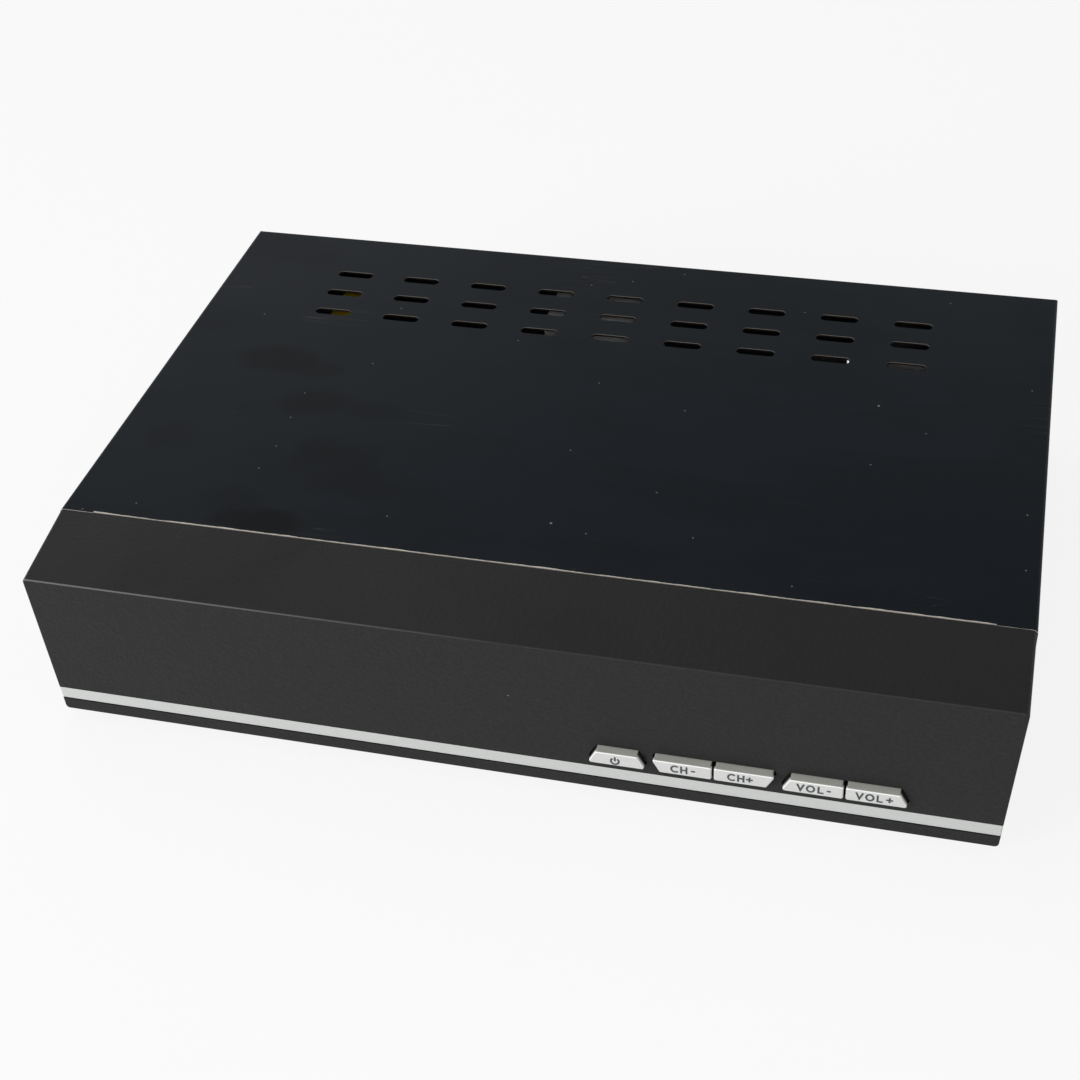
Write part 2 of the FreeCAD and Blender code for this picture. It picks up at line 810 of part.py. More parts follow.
def tray_floor(body):
    """Standoffs pressed up from the floor, their screw holes and the floor's air slots."""
    pressed = sketch(body, "z", "tray_sheet / 2")
    below = sketch(body, "z")
    holes = sketch(body, "z")
    for spot in standoffs():
        circle(pressed, spot, "standoff_radius")
        circle(below, spot, "standoff_radius - tray_sheet")
        circle(holes, spot, "screw_pilot")
    pad(body, pressed, "board_level - tray_sheet / 2")
    pocket(body, below, "board_level - tray_sheet", reverse=True)
    pocket(body, holes, "board_top", reverse=True)
    vent = sketch(body, "z")
    middle = "(main_board_left + board_right) / 2 - (floor_slot_columns - 1) / 2 * floor_slot_column_pitch"
    stadium(vent, (middle, "tray_rear - floor_slot_rear"), "floor_slot_length", "floor_slot_width")
    slot = pocket(body, vent, "tray_sheet + sheet_gap", reverse=True)
    pattern(body, [slot], ("x", "floor_slot_columns", "floor_slot_column_pitch"),
            ("y", "floor_slot_rows", "floor_slot_row_pitch"))


def panel_half(z):
    """Half the panel's width at a height: its ends lean in towards the bottom."""
    return f"(panel_half_low + panel_taper * ({z}))"


def panel_outline(drawing, low, high, inset):
    ends = [f"{panel_half(z)} - ({inset})" for z in (low, high)]
    polygon(drawing, [(f"-({ends[0]})", low), (ends[0], low), (ends[1], high), (f"-({ends[1]})", high)])


def front_panel():
    """Moulded cap: sloped top, leaning ends, hollow from behind, with a ledge for the cover."""
    body = new_body()
    face = sketch(body, "y")
    panel_outline(face, "0", "case_height", "0")
    solid = pad(body, face, "slope_depth", reverse=True)
    slope = sketch(body, "x", "half_width")
    polygon(slope, [("0", "edge_height"), ("slope_depth", "case_height"), ("0", "case_height")])
    sloped = pocket(body, slope, "case_width")
    walls = shell(body, sloped, faces(sloped, {"y": "slope_depth"}), "panel_wall")
    corners = edges(walls, {"z": "0", "x": "panel_half_low"}, {"z": "0", "x": "-panel_half_low"})
    corners += [f"Edge{n}" for n, edge in enumerate(walls.Shape.Edges, 1) if top_corner(edge)]
    rounded = fillet(body, walls, corners, "panel_corner")
    fillet(body, rounded, edges(rounded, {"y": "0"}), "panel_round")
    panel_ledge(body)
    panel_openings(body)
    panel_inside(body)
    panel_hooks(body)
    piece("front_panel", body)


def top_corner(edge):
    """True for the slope's edge at either end of the panel."""
    box = edge.BoundBox
    tall = abs(box.ZMin - value("edge_height")) < near and abs(box.ZMax - value("case_height")) < near
    ends = abs(abs(box.Center.x) - value("panel_half_top")) < value("panel_inset_low")
    return tall and ends and box.YMin < near and max(-box.XMin, box.XMax) > value("panel_half_top") - near


def panel_ledge(body):
    """The frame behind the panel's edge that the cover laps over."""
    frame = sketch(body, "y", "slope_depth - sheet_gap")
    lap = "cover_sheet + sheet_gap"
    panel_outline(frame, "0", f"case_height - ({lap})", lap)
    panel_outline(frame, "panel_wall", "case_height - panel_wall", "panel_wall")
    pad(body, frame, "ledge_depth + sheet_gap", reverse=True)


def key_edges():
    """The left and right edge of each key as (middle, lean): a leaning edge moves right going up."""
    low = "power_key_x - power_key_width / 2", 1
    high = "power_key_x + power_key_width / 2", -1
    found = {"power": (low, high)}
    for name, centre, lean in (("channel", "channel_x", -1), ("volume", "volume_x", 1)):
        found[name] = ((f"{centre} - pair_width / 2", lean), (f"{centre} + pair_width / 2", -lean))
        found[name + "_down"] = (found[name][0], (f"{centre} - key_split / 2", 0))
        found[name + "_up"] = ((f"{centre} + key_split / 2", 0), found[name][1])
    return found


def key_outline(drawing, name, grow, side_grow):
    """The key's outline grown all round; an upright edge grows by its own amount."""
    low, high = f"(key_low - ({grow}))", f"(key_high + {grow})"
    ends = []
    for (middle, lean), sign in zip(key_edges()[name], "-+"):
        out = grow if lean else side_grow
        for z in (low, high):
            ends.append(f"{middle} {sign} ({out}) + {lean} * key_slant * ({z} - key_middle) / key_height")
    polygon(drawing, [(ends[0], low), (ends[2], low), (ends[3], high), (ends[1], high)])


def runs_back(item, name):
    return item.Shape.getElement(name).BoundBox.YLength > near


def panel_openings(body):
    """Three key openings and the groove for the trim strip."""
    mouths = sketch(body, "y", "-cut_over")
    for name in ("power", "channel", "volume"):
        key_outline(mouths, name, "key_clearance", "key_clearance")
    through = pocket(body, mouths, "panel_wall + 2 * cut_over")
    levels = {"z": "key_low - key_clearance"}, {"z": "key_high + key_clearance"}
    corners = [name for name in edges(through, *levels) if runs_back(through, name)]
    fillet(body, through, corners, "key_corner + key_clearance")
    groove = sketch(body, "y", "-cut_over")
    rectangle(groove, ("-half_width", "half_width"), ("strip_low", "strip_high"))
    pocket(body, groove, "groove_depth + cut_over")


def boss_places():
    return [(x, z) for x in ("key_board_left + boss_inset", "key_board_right - boss_inset")
            for z in ("key_board_low + boss_inset", "key_board_high - boss_inset")]


def panel_inside(body):
    """Bosses for the key board, posts for the tray's screws and ribs behind the plain left half."""
    bosses = sketch(body, "y", "panel_wall / 2")
    for spot in boss_places():
        circle(bosses, spot, "boss_radius")
    pad(body, bosses, "key_board_front - panel_wall / 2", reverse=True)
    posts = sketch(body, "y", "panel_wall / 2")
    for x in ("-post_x", "post_x"):
        circle(posts, (x, "post_height"), "post_radius")
    pad(body, posts, "tray_front - panel_wall / 2", reverse=True)
    rib = sketch(body, "y", "panel_wall / 2")
    rectangle(rib, ("rib_first - rib_thickness / 2", "rib_first + rib_thickness / 2"),
              ("panel_wall / 2", "edge_height - panel_wall / 2"))
    first = pad(body, rib, "rib_depth + panel_wall / 2", reverse=True)
    pattern(body, [first], ("x", "rib_count", "rib_pitch"))
    pilots = sketch(body, "y", "key_board_front")
    for spot in boss_places():
        circle(pilots, spot, "screw_pilot")
    pocket(body, pilots, "screw_length", reverse=True)
    post_pilots = sketch(body, "y", "tray_front")
    for x in ("-post_x", "post_x"):
        circle(post_pilots, (x, "post_height"), "screw_pilot")
    pocket(body, post_pilots, "screw_length", reverse=True)


def panel_hooks(body):
    """Snap hooks: the lower ones go through the tray's windows, the upper ones over its edge."""
    ledge_end = "slope_depth + ledge_depth"
    catch = "front_inside + sheet_gap"
    for base, sign in (("panel_wall", "+"), ("case_height - panel_wall", "-")):
        def level(rise):
            return f"{base} {sign} ({rise})"
        inner = level("hook_thickness")
        barb = level("hook_thickness + hook_barb")
        hook = sketch(body, "x", f"{hook_places()[0]} - hook_width / 2")
        polygon(hook, [(f"{ledge_end} - hook_root", base), (f"{catch} + hook_slope", base),
                       (f"{catch} + hook_slope", inner), (f"{catch} + hook_slope / 3", barb), (catch, barb),
                       (catch, inner), (f"{ledge_end} - hook_root", inner)])
        first = pad(body, hook, "hook_width")
        pattern(body, [first], ("x", "hook_count", "hook_pitch"))


def trim_strip():
    """Bright strip laid in the panel's groove from end to end."""
    body = new_body()
    face = sketch(body, "y", "strip_recess")
    panel_outline(face, "strip_low + strip_gap", "strip_high - strip_gap", "strip_gap")
    solid = pad(body, face, "strip_thickness", reverse=True)
    fillet(body, solid, edges(solid, {"y": "strip_recess"}), "strip_recess")
    piece("trim_strip", body)


def feet():
    """Four turned rubber feet, dished below."""
    rows = []
    for x in ("-foot_x", "foot_x"):
        for y in ("foot_front", "foot_rear"):
            foot = doc.addObject("Part::Cone", "Foot")
            bind(foot, Radius1="foot_radius - foot_taper", Radius2="foot_radius", Height="foot_height",
                 Placement__Base__x=x, Placement__Base__y=y, Placement__Base__z="-foot_height")
            rows.append(cut(foot, rod((x, y, "-foot_height"), "foot_dimple", "dimple_depth")))
    piece("rubber_feet", group(rows))


# ---- keys and their board ----

def key_stem_x(name):
    (left, _), (right, _) = key_edges()[name]
    return f"(({left}) + ({right})) / 2"


def key(name):
    """Cap that stands proud of the panel, a flange that stops it from coming out, and a stem."""
    body = new_body()
    face = sketch(body, "y", "-key_proud")
    key_outline(face, name, "0", "0")
    solid = pad(body, face, "key_proud + flange_front", reverse=True)
    corners = [f"Edge{n}" for n, edge in enumerate(solid.Shape.Edges, 1) if edge.BoundBox.YLength > near]
    rounded = fillet(body, solid, corners, "key_corner")
    fillet(body, rounded, edges(rounded, {"y": "-key_proud"}), "key_edge")
    flange = sketch(body, "y", "flange_front - sheet_gap")
    key_outline(flange, name, "key_clearance + flange_lip", "0")
    pad(body, flange, "flange_thickness + sheet_gap", reverse=True)
    stem = sketch(body, "y", "flange_rear - sheet_gap")
    circle(stem, (key_stem_x(name), "key_middle"), "stem_radius")
    pad(body, stem, "stem_length + sheet_gap", reverse=True)
    piece(name + "_key", body)


def plunger(name):
    """The switch's own button, which the key's stem pushes."""
    at = key_stem_x(name), "stem_tip", "key_middle"
    piece(name + "_plunger", rod(at, "plunger_radius", "plunger_reach + plunger_seat", "y"))


def switches(names):
    """Five square switch bodies, each with a bore for its plunger."""
    found = []
    half = "switch_size / 2"
    for name in names:
        x = key_stem_x(name)
        shell_box = block((f"{x} - {half}", f"{x} + {half}"), ("switch_front", "key_board_front"),
                          (f"key_middle - {half}", f"key_middle + {half}"))
        bore = rod((x, "switch_front - cut_over", "key_middle"), "plunger_radius + plunger_clearance",
                   "plunger_seat + key_travel + flange_gap + cut_over", "y")
        found.append(cut(shell_box, bore))
    piece("tact_switches", group(found))


def key_board():
    body = new_body()
    face = sketch(body, "y", "key_board_front")
    rectangle(face, ("key_board_left", "key_board_right"), ("key_board_low", "key_board_high"))
    for spot in boss_places():
        circle(face, spot, "screw_hole")
    pad(body, face, "board_thickness", reverse=True)
    piece("key_board", body)
    half = "receiver_width / 2"
    housing = block((f"receiver_x - {half}", f"receiver_x + {half}"),
                    ("key_board_front - receiver_depth", "key_board_front"),
                    ("receiver_z - receiver_height / 2", "receiver_z + receiver_height / 2"))
    dome = doc.addObject("Part::Sphere", "Dome")
    bind(dome, Radius="receiver_dome", Placement__Base__x="receiver_x",
         Placement__Base__y="key_board_front - receiver_depth", Placement__Base__z="receiver_z")
    piece("infrared_receiver", join([housing, dome]))
    tip = "key_board_front - lamp_length"
    lens = doc.addObject("Part::Sphere", "Lens")
    bind(lens, Radius="lamp_radius", Placement__Base__x="power_key_x",
         Placement__Base__y=f"{tip} + lamp_radius", Placement__Base__z="lamp_z")
    stick = rod(("power_key_x", f"{tip} + lamp_radius", "lamp_z"), "lamp_radius",
                "lamp_length - lamp_radius", "y")
    piece("standby_lamp", join([lens, stick]))


# ---- screws ----

def screws():
    rear = [screw((x, "case_depth", "case_height - rear_flange / 2"), "y", -1)
            for x in ("-cover_screw_reach", "0", "cover_screw_reach")]
    sides = [screw((x, y, "side_screw_z"), "x", sign) for x, sign in (("half_width", -1), ("-half_width", 1))
             for y in ("side_screw_front", "side_screw_rear")]
    piece("cover_screws", group(rear + sides))
    piece("board_screws", group([screw((x, y, "board_top"), "z", -1) for x, y in standoffs()]))
    piece("panel_screws", group([screw((x, "front_inside", "post_height"), "y", -1)
                                 for x in ("-post_x", "post_x")]))
    piece("key_board_screws", group([screw((x, "key_board_rear", z), "y", -1) for x, z in boss_places()]))


# ---- main board ----

def boards():
    for node, (left, right, front) in board_spans.items():
        body = new_body()
        plan = sketch(body, "z", "board_level")
        rectangle(plan, (left, right), (front, "board_rear"))
        for spot in standoffs(node):
            circle(plan, spot, "screw_hole")
        pad(body, plan, "board_thickness")
        piece(node, body)


def decoder():
    spot = "decoder_x", "decoder_y"
    piece("decoder_chip", brick(spot, "decoder_size", "decoder_size", "board_top", "decoder_height"))
    body = new_body()
    comb = sketch(body, "y", "decoder_y - sink_size / 2")
    left, foot = "decoder_x - sink_size / 2", "sink_level + sink_base"
    tip = f"{foot} + sink_fin_height"
    step = "(sink_size - sink_fin_thickness) / (sink_fins - 1)"
    points = [("decoder_x + sink_size / 2", "sink_level"), (left, "sink_level")]
    for n in range(count("sink_fins")):
        start = f"{left} + {n} * {step}"
        points += [(start, foot)] if n else []
        end = f"{start} + sink_fin_thickness"
        points += [(start, tip), (end, tip), (end, foot)]
    polygon(comb, points[:-1])
    pad(body, comb, "sink_size", reverse=True)
    piece("decoder_heatsink", body)


def board_parts():
    behind = "decoder_y + decoder_size / 2 + memory_gap"
    chips = [brick((f"decoder_x {sign} memory_pitch / 2", behind), "memory_width", "memory_depth",
                   "board_top", "memory_height") for sign in "-+"]
    chips.append(brick(("decoder_x + decoder_size / 2 + memory_gap", "decoder_y"), "memory_depth",
                       "memory_width", "board_top", "memory_height"))
    piece("memory_chips", group(chips))
    cans = [rod((f"board_can_first + {n} * board_can_pitch", "board_can_row", "board_top"),
                "board_can_radius", "board_can_height") for n in range(count("board_cans"))]
    piece("board_capacitors", group(cans))
    coils = []
    for n in range(count("coils")):
        x = f"coil_first + {n} * coil_pitch"
        rims = [rod((x, "coil_row", z), "coil_radius", "coil_rim")
                for z in ("board_top", "board_top + coil_height - coil_rim")]
        coils.append(join(rims + [rod((x, "coil_row", "board_top"), "coil_waist", "coil_height")]))
    piece("board_inductors", group(coils))


def tuner():
    """Screened box on the main board with two aerial sockets through the tray's rear wall."""
    body = new_body()
    half = "tuner_width / 2"
    plan = sketch(body, "z", "board_top")
    rectangle(plan, (f"tuner_x - {half}", f"tuner_x + {half}"), ("tuner_rear - tuner_depth", "tuner_rear"))
    solid = pad(body, plan, "tuner_height - tuner_sheet")
    lid_level = "board_top + tuner_height - tuner_sheet"
    shell(body, solid, faces(solid, {"z": lid_level}), "tuner_sheet")
    holes = sketch(body, "y", "tuner_rear - tuner_sheet - sheet_gap")
    for x in ("tuner_x - aerial_pitch / 2", "tuner_x + aerial_pitch / 2"):
        circle(holes, (x, "aerial_z"), "aerial_bore")
    pocket(body, holes, "tuner_sheet + sheet_gap + cut_over")
    piece("tuner_can", body)
    middle = "tuner_rear - tuner_depth / 2"
    lid = brick(("tuner_x", middle), "tuner_width", "tuner_depth", lid_level, "tuner_sheet")
    dimple = rod(("tuner_x", middle, f"{lid_level} - tuner_sheet"), "aerial_bore", "2 * tuner_sheet")
    piece("tuner_lid", join([lid, dimple]))


def aerial_sockets():
    """Threaded barrels with a hexagon at their root, and the insulators that hold the contacts."""
    cores = []
    for node, side in (("lnb_out_socket", "-"), ("lnb_in_socket", "+")):
        x = f"tuner_x {side} aerial_pitch / 2"
        body = turned([("aerial_bore", "tuner_rear"), ("aerial_radius", "tuner_rear"),
                       ("aerial_radius", "aerial_tip - sheet_gap"),
                       ("aerial_radius - sheet_gap", "aerial_tip"), ("aerial_bore", "aerial_tip")])
        nut = sketch(body, "y", "tray_rear")
        long, short = "aerial_nut", "aerial_nut / 2"
        rise = "aerial_nut * cos(30)"
        polygon(nut, [(long, "0"), (short, rise), (f"-{short}", rise), (f"-{long}", "0"),
                      (f"-{short}", f"-{rise}"), (short, f"-{rise}")])
        circle(nut, ("0", "0"), "(aerial_bore + aerial_radius) / 2")
        pad(body, nut, "aerial_nut_height", reverse=True)
        piece(node, body, x, "0", "aerial_z")
        insulator = rod((x, "tuner_rear", "aerial_z"), "aerial_bore - insert_gap",
                        "aerial_tip - tuner_rear - aerial_core", "y")
        hole = rod((x, "tray_rear", "aerial_z"), "aerial_core", "aerial_reach + cut_over", "y")
        cores.append(cut(insulator, hole))
    piece("lnb_insulators", group(cores))


def metal_shell(name, points):
    """A folded shell round a socket's mouth, its outline given as (x, z) points and an inset."""
    body = new_body()
    ring = sketch(body, "y", f"tray_rear - {name}_depth")
    polygon(ring, points("0"))
    polygon(ring, points("shell_thickness"))
    pad(body, ring, f"{name}_depth + sheet_gap", reverse=True)
    piece(name + "_shell", body)


def small_sockets():
    def video(inset):
        half, top = f"(video_width / 2 - {inset})", f"board_top + video_height - {inset}"
        low = f"board_top + {inset}"
        step = f"board_top + video_shoulder + {inset} / 2"
        narrow = f"({half} - video_shoulder)"
        return [(f"video_x - {narrow}", low), (f"video_x + {narrow}", low), (f"video_x + {half}", step),
                (f"video_x + {half}", top), (f"video_x - {half}", top), (f"video_x - {half}", step)]

    def data(inset):
        half = f"(data_width / 2 - {inset})"
        low, top = f"board_top + {inset}", f"board_top + data_height - {inset}"
        return [(f"data_x - {half}", low), (f"data_x + {half}", low), (f"data_x + {half}", top),
                (f"data_x - {half}", top)]

    metal_shell("video", video)
    metal_shell("data", data)
    for name, low in (("video", "board_top + video_shoulder + sheet_gap"),
                      ("data", "board_top + data_height / 2")):
        front = f"tray_rear - {name}_depth"
        room = "shell_thickness + sheet_gap"
        wide = f"{name}_tongue_width / 2"
        across = (f"{name}_x - {wide}", f"{name}_x + {wide}")
        base = block(across, (front, f"{front} + tongue_root"), (low, f"board_top + {name}_height - ({room})"))
        tongue = block(across, (front, f"tray_rear - {name}_tongue_thickness"),
                       (low, f"{low} + {name}_tongue_thickness"))
        piece(name + "_tongue", join([base, tongue]))


def audio_socket():
    """Digital audio socket: moulded block on the board and a plain metal barrel."""
    half = "audio_body_width / 2"
    rear = "rear_inside - sheet_gap"
    housing = block((f"audio_x - {half}", f"audio_x + {half}"), (f"{rear} - audio_body_depth", rear),
                    ("board_top", "board_top + audio_body_height"))
    collar = rod(("audio_x", f"{rear} - cut_over", "audio_z"), "audio_radius - sheet_gap",
                 "tray_sheet + sheet_gap + cut_over", "y")
    insert = rod(("audio_x", f"{rear} - cut_over", "audio_z"), "audio_bore - insert_gap",
                 "audio_reach - audio_core + tray_sheet + sheet_gap + cut_over", "y")
    hole = rod(("audio_x", "tray_rear", "audio_z"), "audio_core", "audio_reach + cut_over", "y")
    piece("audio_socket", cut(join([housing, collar, insert]), hole))
    tip = "tray_rear + audio_reach"
    barrel = turned([("audio_bore", "tray_rear"), ("audio_radius", "tray_rear"),
                     ("audio_radius", f"{tip} - sheet_gap"), ("audio_radius - sheet_gap", tip),
                     ("audio_bore", tip)])
    piece("audio_barrel", barrel, "audio_x", "0", "audio_z")


def network():
    """Network jack: a box with a stepped mouth for the plug and its latch, and eight contacts."""
    body = new_body()
    half = "network_width / 2"
    plan = sketch(body, "y", "tray_rear - network_depth")
    rectangle(plan, (f"network_x - {half}", f"network_x + {half}"),
              ("board_top", "board_top + network_height"))
    pad(body, plan, "network_depth", reverse=True)
    mouth = sketch(body, "y", "tray_rear - network_mouth_depth")
    wide, narrow = "network_mouth_width / 2", "network_notch_width / 2"
    low = "board_top + network_mouth_low"
    notch = f"{low} - network_notch_height"
    high = f"{low} + network_mouth_height"
    stepped = [(f"- {wide}", low), (f"- {narrow}", low), (f"- {narrow}", notch), (f"+ {narrow}", notch),
               (f"+ {narrow}", low), (f"+ {wide}", low), (f"+ {wide}", high), (f"- {wide}", high)]
    polygon(mouth, [(f"network_x {across}", up) for across, up in stepped])
    pocket(body, mouth, "network_mouth_depth + cut_over")
    piece("network_jack", body)
    pins = []
    root = "tray_rear - network_mouth_depth"
    for n in range(count("network_pins")):
        x = f"network_x + ({n} - (network_pins - 1) / 2) * network_pin_pitch"
        pins.append(block((f"{x} - network_pin_width / 2", f"{x} + network_pin_width / 2"),
                          (root, f"{root} + network_pin_length"), (f"{high} - network_pin_width", high)))
    piece("network_contacts", group(pins))


def av_outline(drawing, inset):
    """Slanted socket outline: its lower left corner is cut off."""
    half = f"(av_width / 2 - ({inset}))"
    low, high = f"board_top + {inset}", f"board_top + av_height - ({inset})"
    slanted = [(f"- {half} + av_slant", low), (f"+ {half}", low), (f"+ {half}", high), (f"- {half}", high),
               (f"- {half}", f"{low} + av_slant")]
    polygon(drawing, [(f"av_x {across}", up) for across, up in slanted])


def av():
    """Block of contact slots inside a thin metal frame, with the plug's groove between them."""
    body = new_body()
    solid = sketch(body, "y", "tray_rear - av_depth")
    av_outline(solid, "shell_thickness + sheet_gap")
    pad(body, solid, "av_depth + av_proud", reverse=True)
    groove = sketch(body, "y", "tray_rear + av_proud - av_groove_depth")
    av_outline(groove, "av_rim")
    av_outline(groove, "av_rim + av_groove")
    pocket(body, groove, "av_groove_depth + cut_over")
    slot = sketch(body, "y", "tray_rear + av_proud - av_slot_depth")
    for sign in (-1, 1):
        x = f"av_x - (av_slots - 1) / 2 * av_slot_pitch + {sign} * av_slot_pitch / 4"
        z = f"board_top + av_height / 2 + {sign} * av_row_rise"
        rectangle(slot, (f"{x} - av_slot_width / 2", f"{x} + av_slot_width / 2"),
                  (f"{z} - av_slot_height / 2", f"{z} + av_slot_height / 2"))
    first = pocket(body, slot, "av_slot_depth + cut_over")
    pattern(body, [first], ("x", "av_slots", "av_slot_pitch"))
    piece("av_body", body)
    frame = new_body()
    ring = sketch(frame, "y", "tray_rear - av_depth")
    av_outline(ring, "0")
    av_outline(ring, "shell_thickness")
    pad(frame, ring, "av_depth + sheet_gap", reverse=True)
    piece("av_shell", frame)


def mains_inlet():
    """Two-pin mains inlet: a block on the power board with a long round-ended mouth."""
    body = new_body()
    half, rise = "inlet_width / 2", "inlet_height / 2"
    across = (f"inlet_x - {half}", f"inlet_x + {half}")
    back = sketch(body, "y", "inlet_front")
    rectangle(back, across, (f"inlet_z - {rise}", f"inlet_z + {rise}"))
    pad(body, back, "inlet_depth + inlet_proud", reverse=True)
    legs = sketch(body, "y", "inlet_front")
    rectangle(legs, across, ("board_top", f"inlet_z - {rise} + sheet_gap"))
    pad(body, legs, "inlet_depth / 2", reverse=True)
    mouth = sketch(body, "y", "mouth_inner")
    stadium(mouth, ("inlet_x", "inlet_z"), "inlet_mouth_width", "inlet_mouth_height")
    pocket(body, mouth, "inlet_mouth_depth + cut_over")
    piece("mains_inlet", body)
    pins = [rod((f"inlet_x {sign} inlet_pin_pitch / 2", "mouth_inner", "inlet_z"), "inlet_pin_radius",
                "inlet_pin_length", "y") for sign in "-+"]
    piece("inlet_pins", group(pins))


# ---- power board ----

def transformer():
    """Ferrite ring of two halves lying flat, with the taped winding through it."""
    x, y = "transformer_x", "transformer_y"
    low = "board_top + core_lift"
    outer = brick((x, y), "core_width", "core_depth", low, "core_height")
    inner = brick((x, y), "core_width - 2 * core_leg", "core_depth - 2 * core_leg", f"{low} - cut_over",
                  "core_height + 2 * cut_over")
    piece("transformer_core", cut(outer, inner))
    body = new_body()
    plan = sketch(body, "z", "board_top")
    rectangle(plan, (f"{x} - winding_width / 2", f"{x} + winding_width / 2"),
              (f"{y} - winding_depth / 2", f"{y} + winding_depth / 2"))
    solid = pad(body, plan, "winding_height")
    uprights = [f"Edge{n}" for n, edge in enumerate(solid.Shape.Edges, 1) if edge.BoundBox.ZLength > near]
    rounded = fillet(body, solid, uprights, "winding_round")
    fillet(body, rounded, edges(rounded, {"z": "board_top + winding_height"}), "winding_round / 2")
    piece("transformer_winding", body)


def power_parts():
    top = "board_top"
    piece("mains_capacitor", rod(("mains_can_x", "mains_can_y", top), "mains_can_radius", "mains_can_height"))
    filtering = brick(("x_can_x", "x_can_y"), "x_can_width", "x_can_depth", top, "x_can_height")
    piece("filter_capacitor", filtering)
    cans = [rod(("output_can_x", f"output_can_y - {n} * output_can_pitch", top), "output_can_radius",
                "output_can_height") for n in range(count("output_cans"))]
    piece("output_capacitors", group(cans))
    choke = doc.addObject("Part::Torus", "Choke")
    choke.Placement = FreeCAD.Placement(FreeCAD.Vector(), turns["y"])
    bind(choke, Radius1="choke_radius", Radius2="choke_wire", Placement__Base__x="choke_x",
         Placement__Base__y="choke_y", Placement__Base__z=f"{top} + choke_radius + choke_wire")
    piece("mains_choke", choke)
    tube = rod(("fuse_x - fuse_length / 2", "fuse_y", f"{top} + fuse_lift + fuse_radius"), "fuse_radius",
               "fuse_length", "x")
    clips = []
    for sign in ("-", "+"):
        middle = f"fuse_x {sign} (fuse_length - clip_length) / 2"
        clip = brick((middle, "fuse_y"), "clip_length", "clip_width", top, "fuse_lift + fuse_radius")
        bore = rod((f"{middle} - clip_length", "fuse_y", f"{top} + fuse_lift + fuse_radius"), "fuse_radius",
                   "2 * clip_length", "x")
        clips.append(cut(clip, bore))
    piece("fuse", group([tube] + clips))


def heat_plate():
    """Aluminium plate with a folded fin at each end."""
    body = new_body()
    plan = sketch(body, "z", "board_top")
    left, right = "plate_x - plate_width / 2", "plate_x + plate_width / 2"
    near_face, far_face = "plate_y", "plate_y + plate_thickness"
    tip = "plate_y + plate_fin"
    polygon(plan, [(left, near_face), (right, near_face), (right, tip), (f"{right} - plate_thickness", tip),
                   (f"{right} - plate_thickness", far_face), (f"{left} + plate_thickness", far_face),
                   (f"{left} + plate_thickness", tip), (left, tip)])
    pad(body, plan, "plate_height")
    piece("power_heatsink", body)


def insulation():
    """Thin plastic sheet under the power board, folded up beside it."""
    body = new_body()
    side = "-tray_half + tray_sheet + sheet_gap"
    profile = sketch(body, "y", "power_board_front - insulation_margin")
    thick = "insulation_thickness"
    low = "tray_sheet"
    right = "power_board_right + insulation_margin"
    inner, bend = f"{side} + {thick}", f"{low} + tray_bend"
    polygon(profile, [(f"{side} + tray_bend", low), (right, low), (right, f"{low} + {thick}"),
                      (f"{inner} + tray_bend", f"{low} + {thick}"), (inner, bend),
                      (inner, "insulation_wall"), (side, "insulation_wall"), (side, bend)])
    pad(body, profile, "board_rear - power_board_front + insulation_margin", reverse=True)
    holes = sketch(body, "z")
    for spot in standoffs("power_board"):
        circle(holes, spot, "standoff_radius + sheet_gap")
    pocket(body, holes, "board_level", reverse=True)
    side_holes = sketch(body, "x")
    for y in ("side_screw_front", "side_screw_rear"):
        circle(side_holes, (y, "side_screw_z"), "screw_hole")
    pocket(body, side_holes, "half_width")
    piece("insulation_sheet", body)


# ---- leads ----

def vector(point):
    return FreeCAD.Vector(*(value(text) for text in point))


def bent_path(points):
    """Straight runs joined by tangent arcs that take bend_ratio of the shorter run."""
    spots = [vector(point) for point in points]
    parts = []
    start = spots[0]
    for before, corner, after in zip(spots, spots[1:], spots[2:]):
        back, ahead = before - corner, after - corner
        reach = bend_ratio * min(back.Length, ahead.Length)
        back.normalize()
        ahead.normalize()
        half = back.getAngle(ahead) / 2
        radius = reach * math.tan(half)
        inner, outer = corner + back * reach, corner + ahead * reach
        middle = corner + (back + ahead).normalize() * (reach / math.cos(half) - radius)
        parts += [Part.LineSegment(start, inner).toShape(), Part.Arc(inner, middle, outer).toShape()]
        start = outer
    parts.append(Part.LineSegment(start, spots[-1]).toShape())
    return Part.Wire(parts)


def swept(profile, path):
    """Sweeps a profile along a path and compares the volume with section times length."""
    solid = path.makePipeShell([profile], True, False)
    ideal = Part.Face(profile).Area * path.Length
    if abs(solid.Volume / ideal - 1) > near:
        raise ValueError("a lead lost its section")
    return solid


def lead(node, solids):
    item = doc.addObject("Part::Feature", "Lead")
    item.Shape = Part.Compound(solids) if len(solids) > 1 else solids[0]
    piece(node, item)


def front_ribbon():
    """Flat cable from the key board through the tray's window to the main board."""
    rise, over = "ribbon_z + ribbon_rise", "board_top + plug_height"
    points = [("ribbon_x", "key_board_rear + plug_depth", "ribbon_z"),
              ("ribbon_x", "ribbon_board_y - ribbon_reach", "ribbon_z"),
              ("ribbon_x", "ribbon_board_y - ribbon_reach / 2", rise),
              ("ribbon_x", "ribbon_board_y", rise), ("ribbon_x", "ribbon_board_y", over)]
    start = vector(points[0])
    wide = FreeCAD.Vector(value("ribbon_width / 2"), 0, 0)
    thick = FreeCAD.Vector(0, 0, value("ribbon_thickness / 2"))
    corners = [start - wide - thick, start + wide - thick, start + wide + thick, start - wide + thick]
    lead("front_cable", [swept(Part.makePolygon(corners + corners[:1]), bent_path(points))])


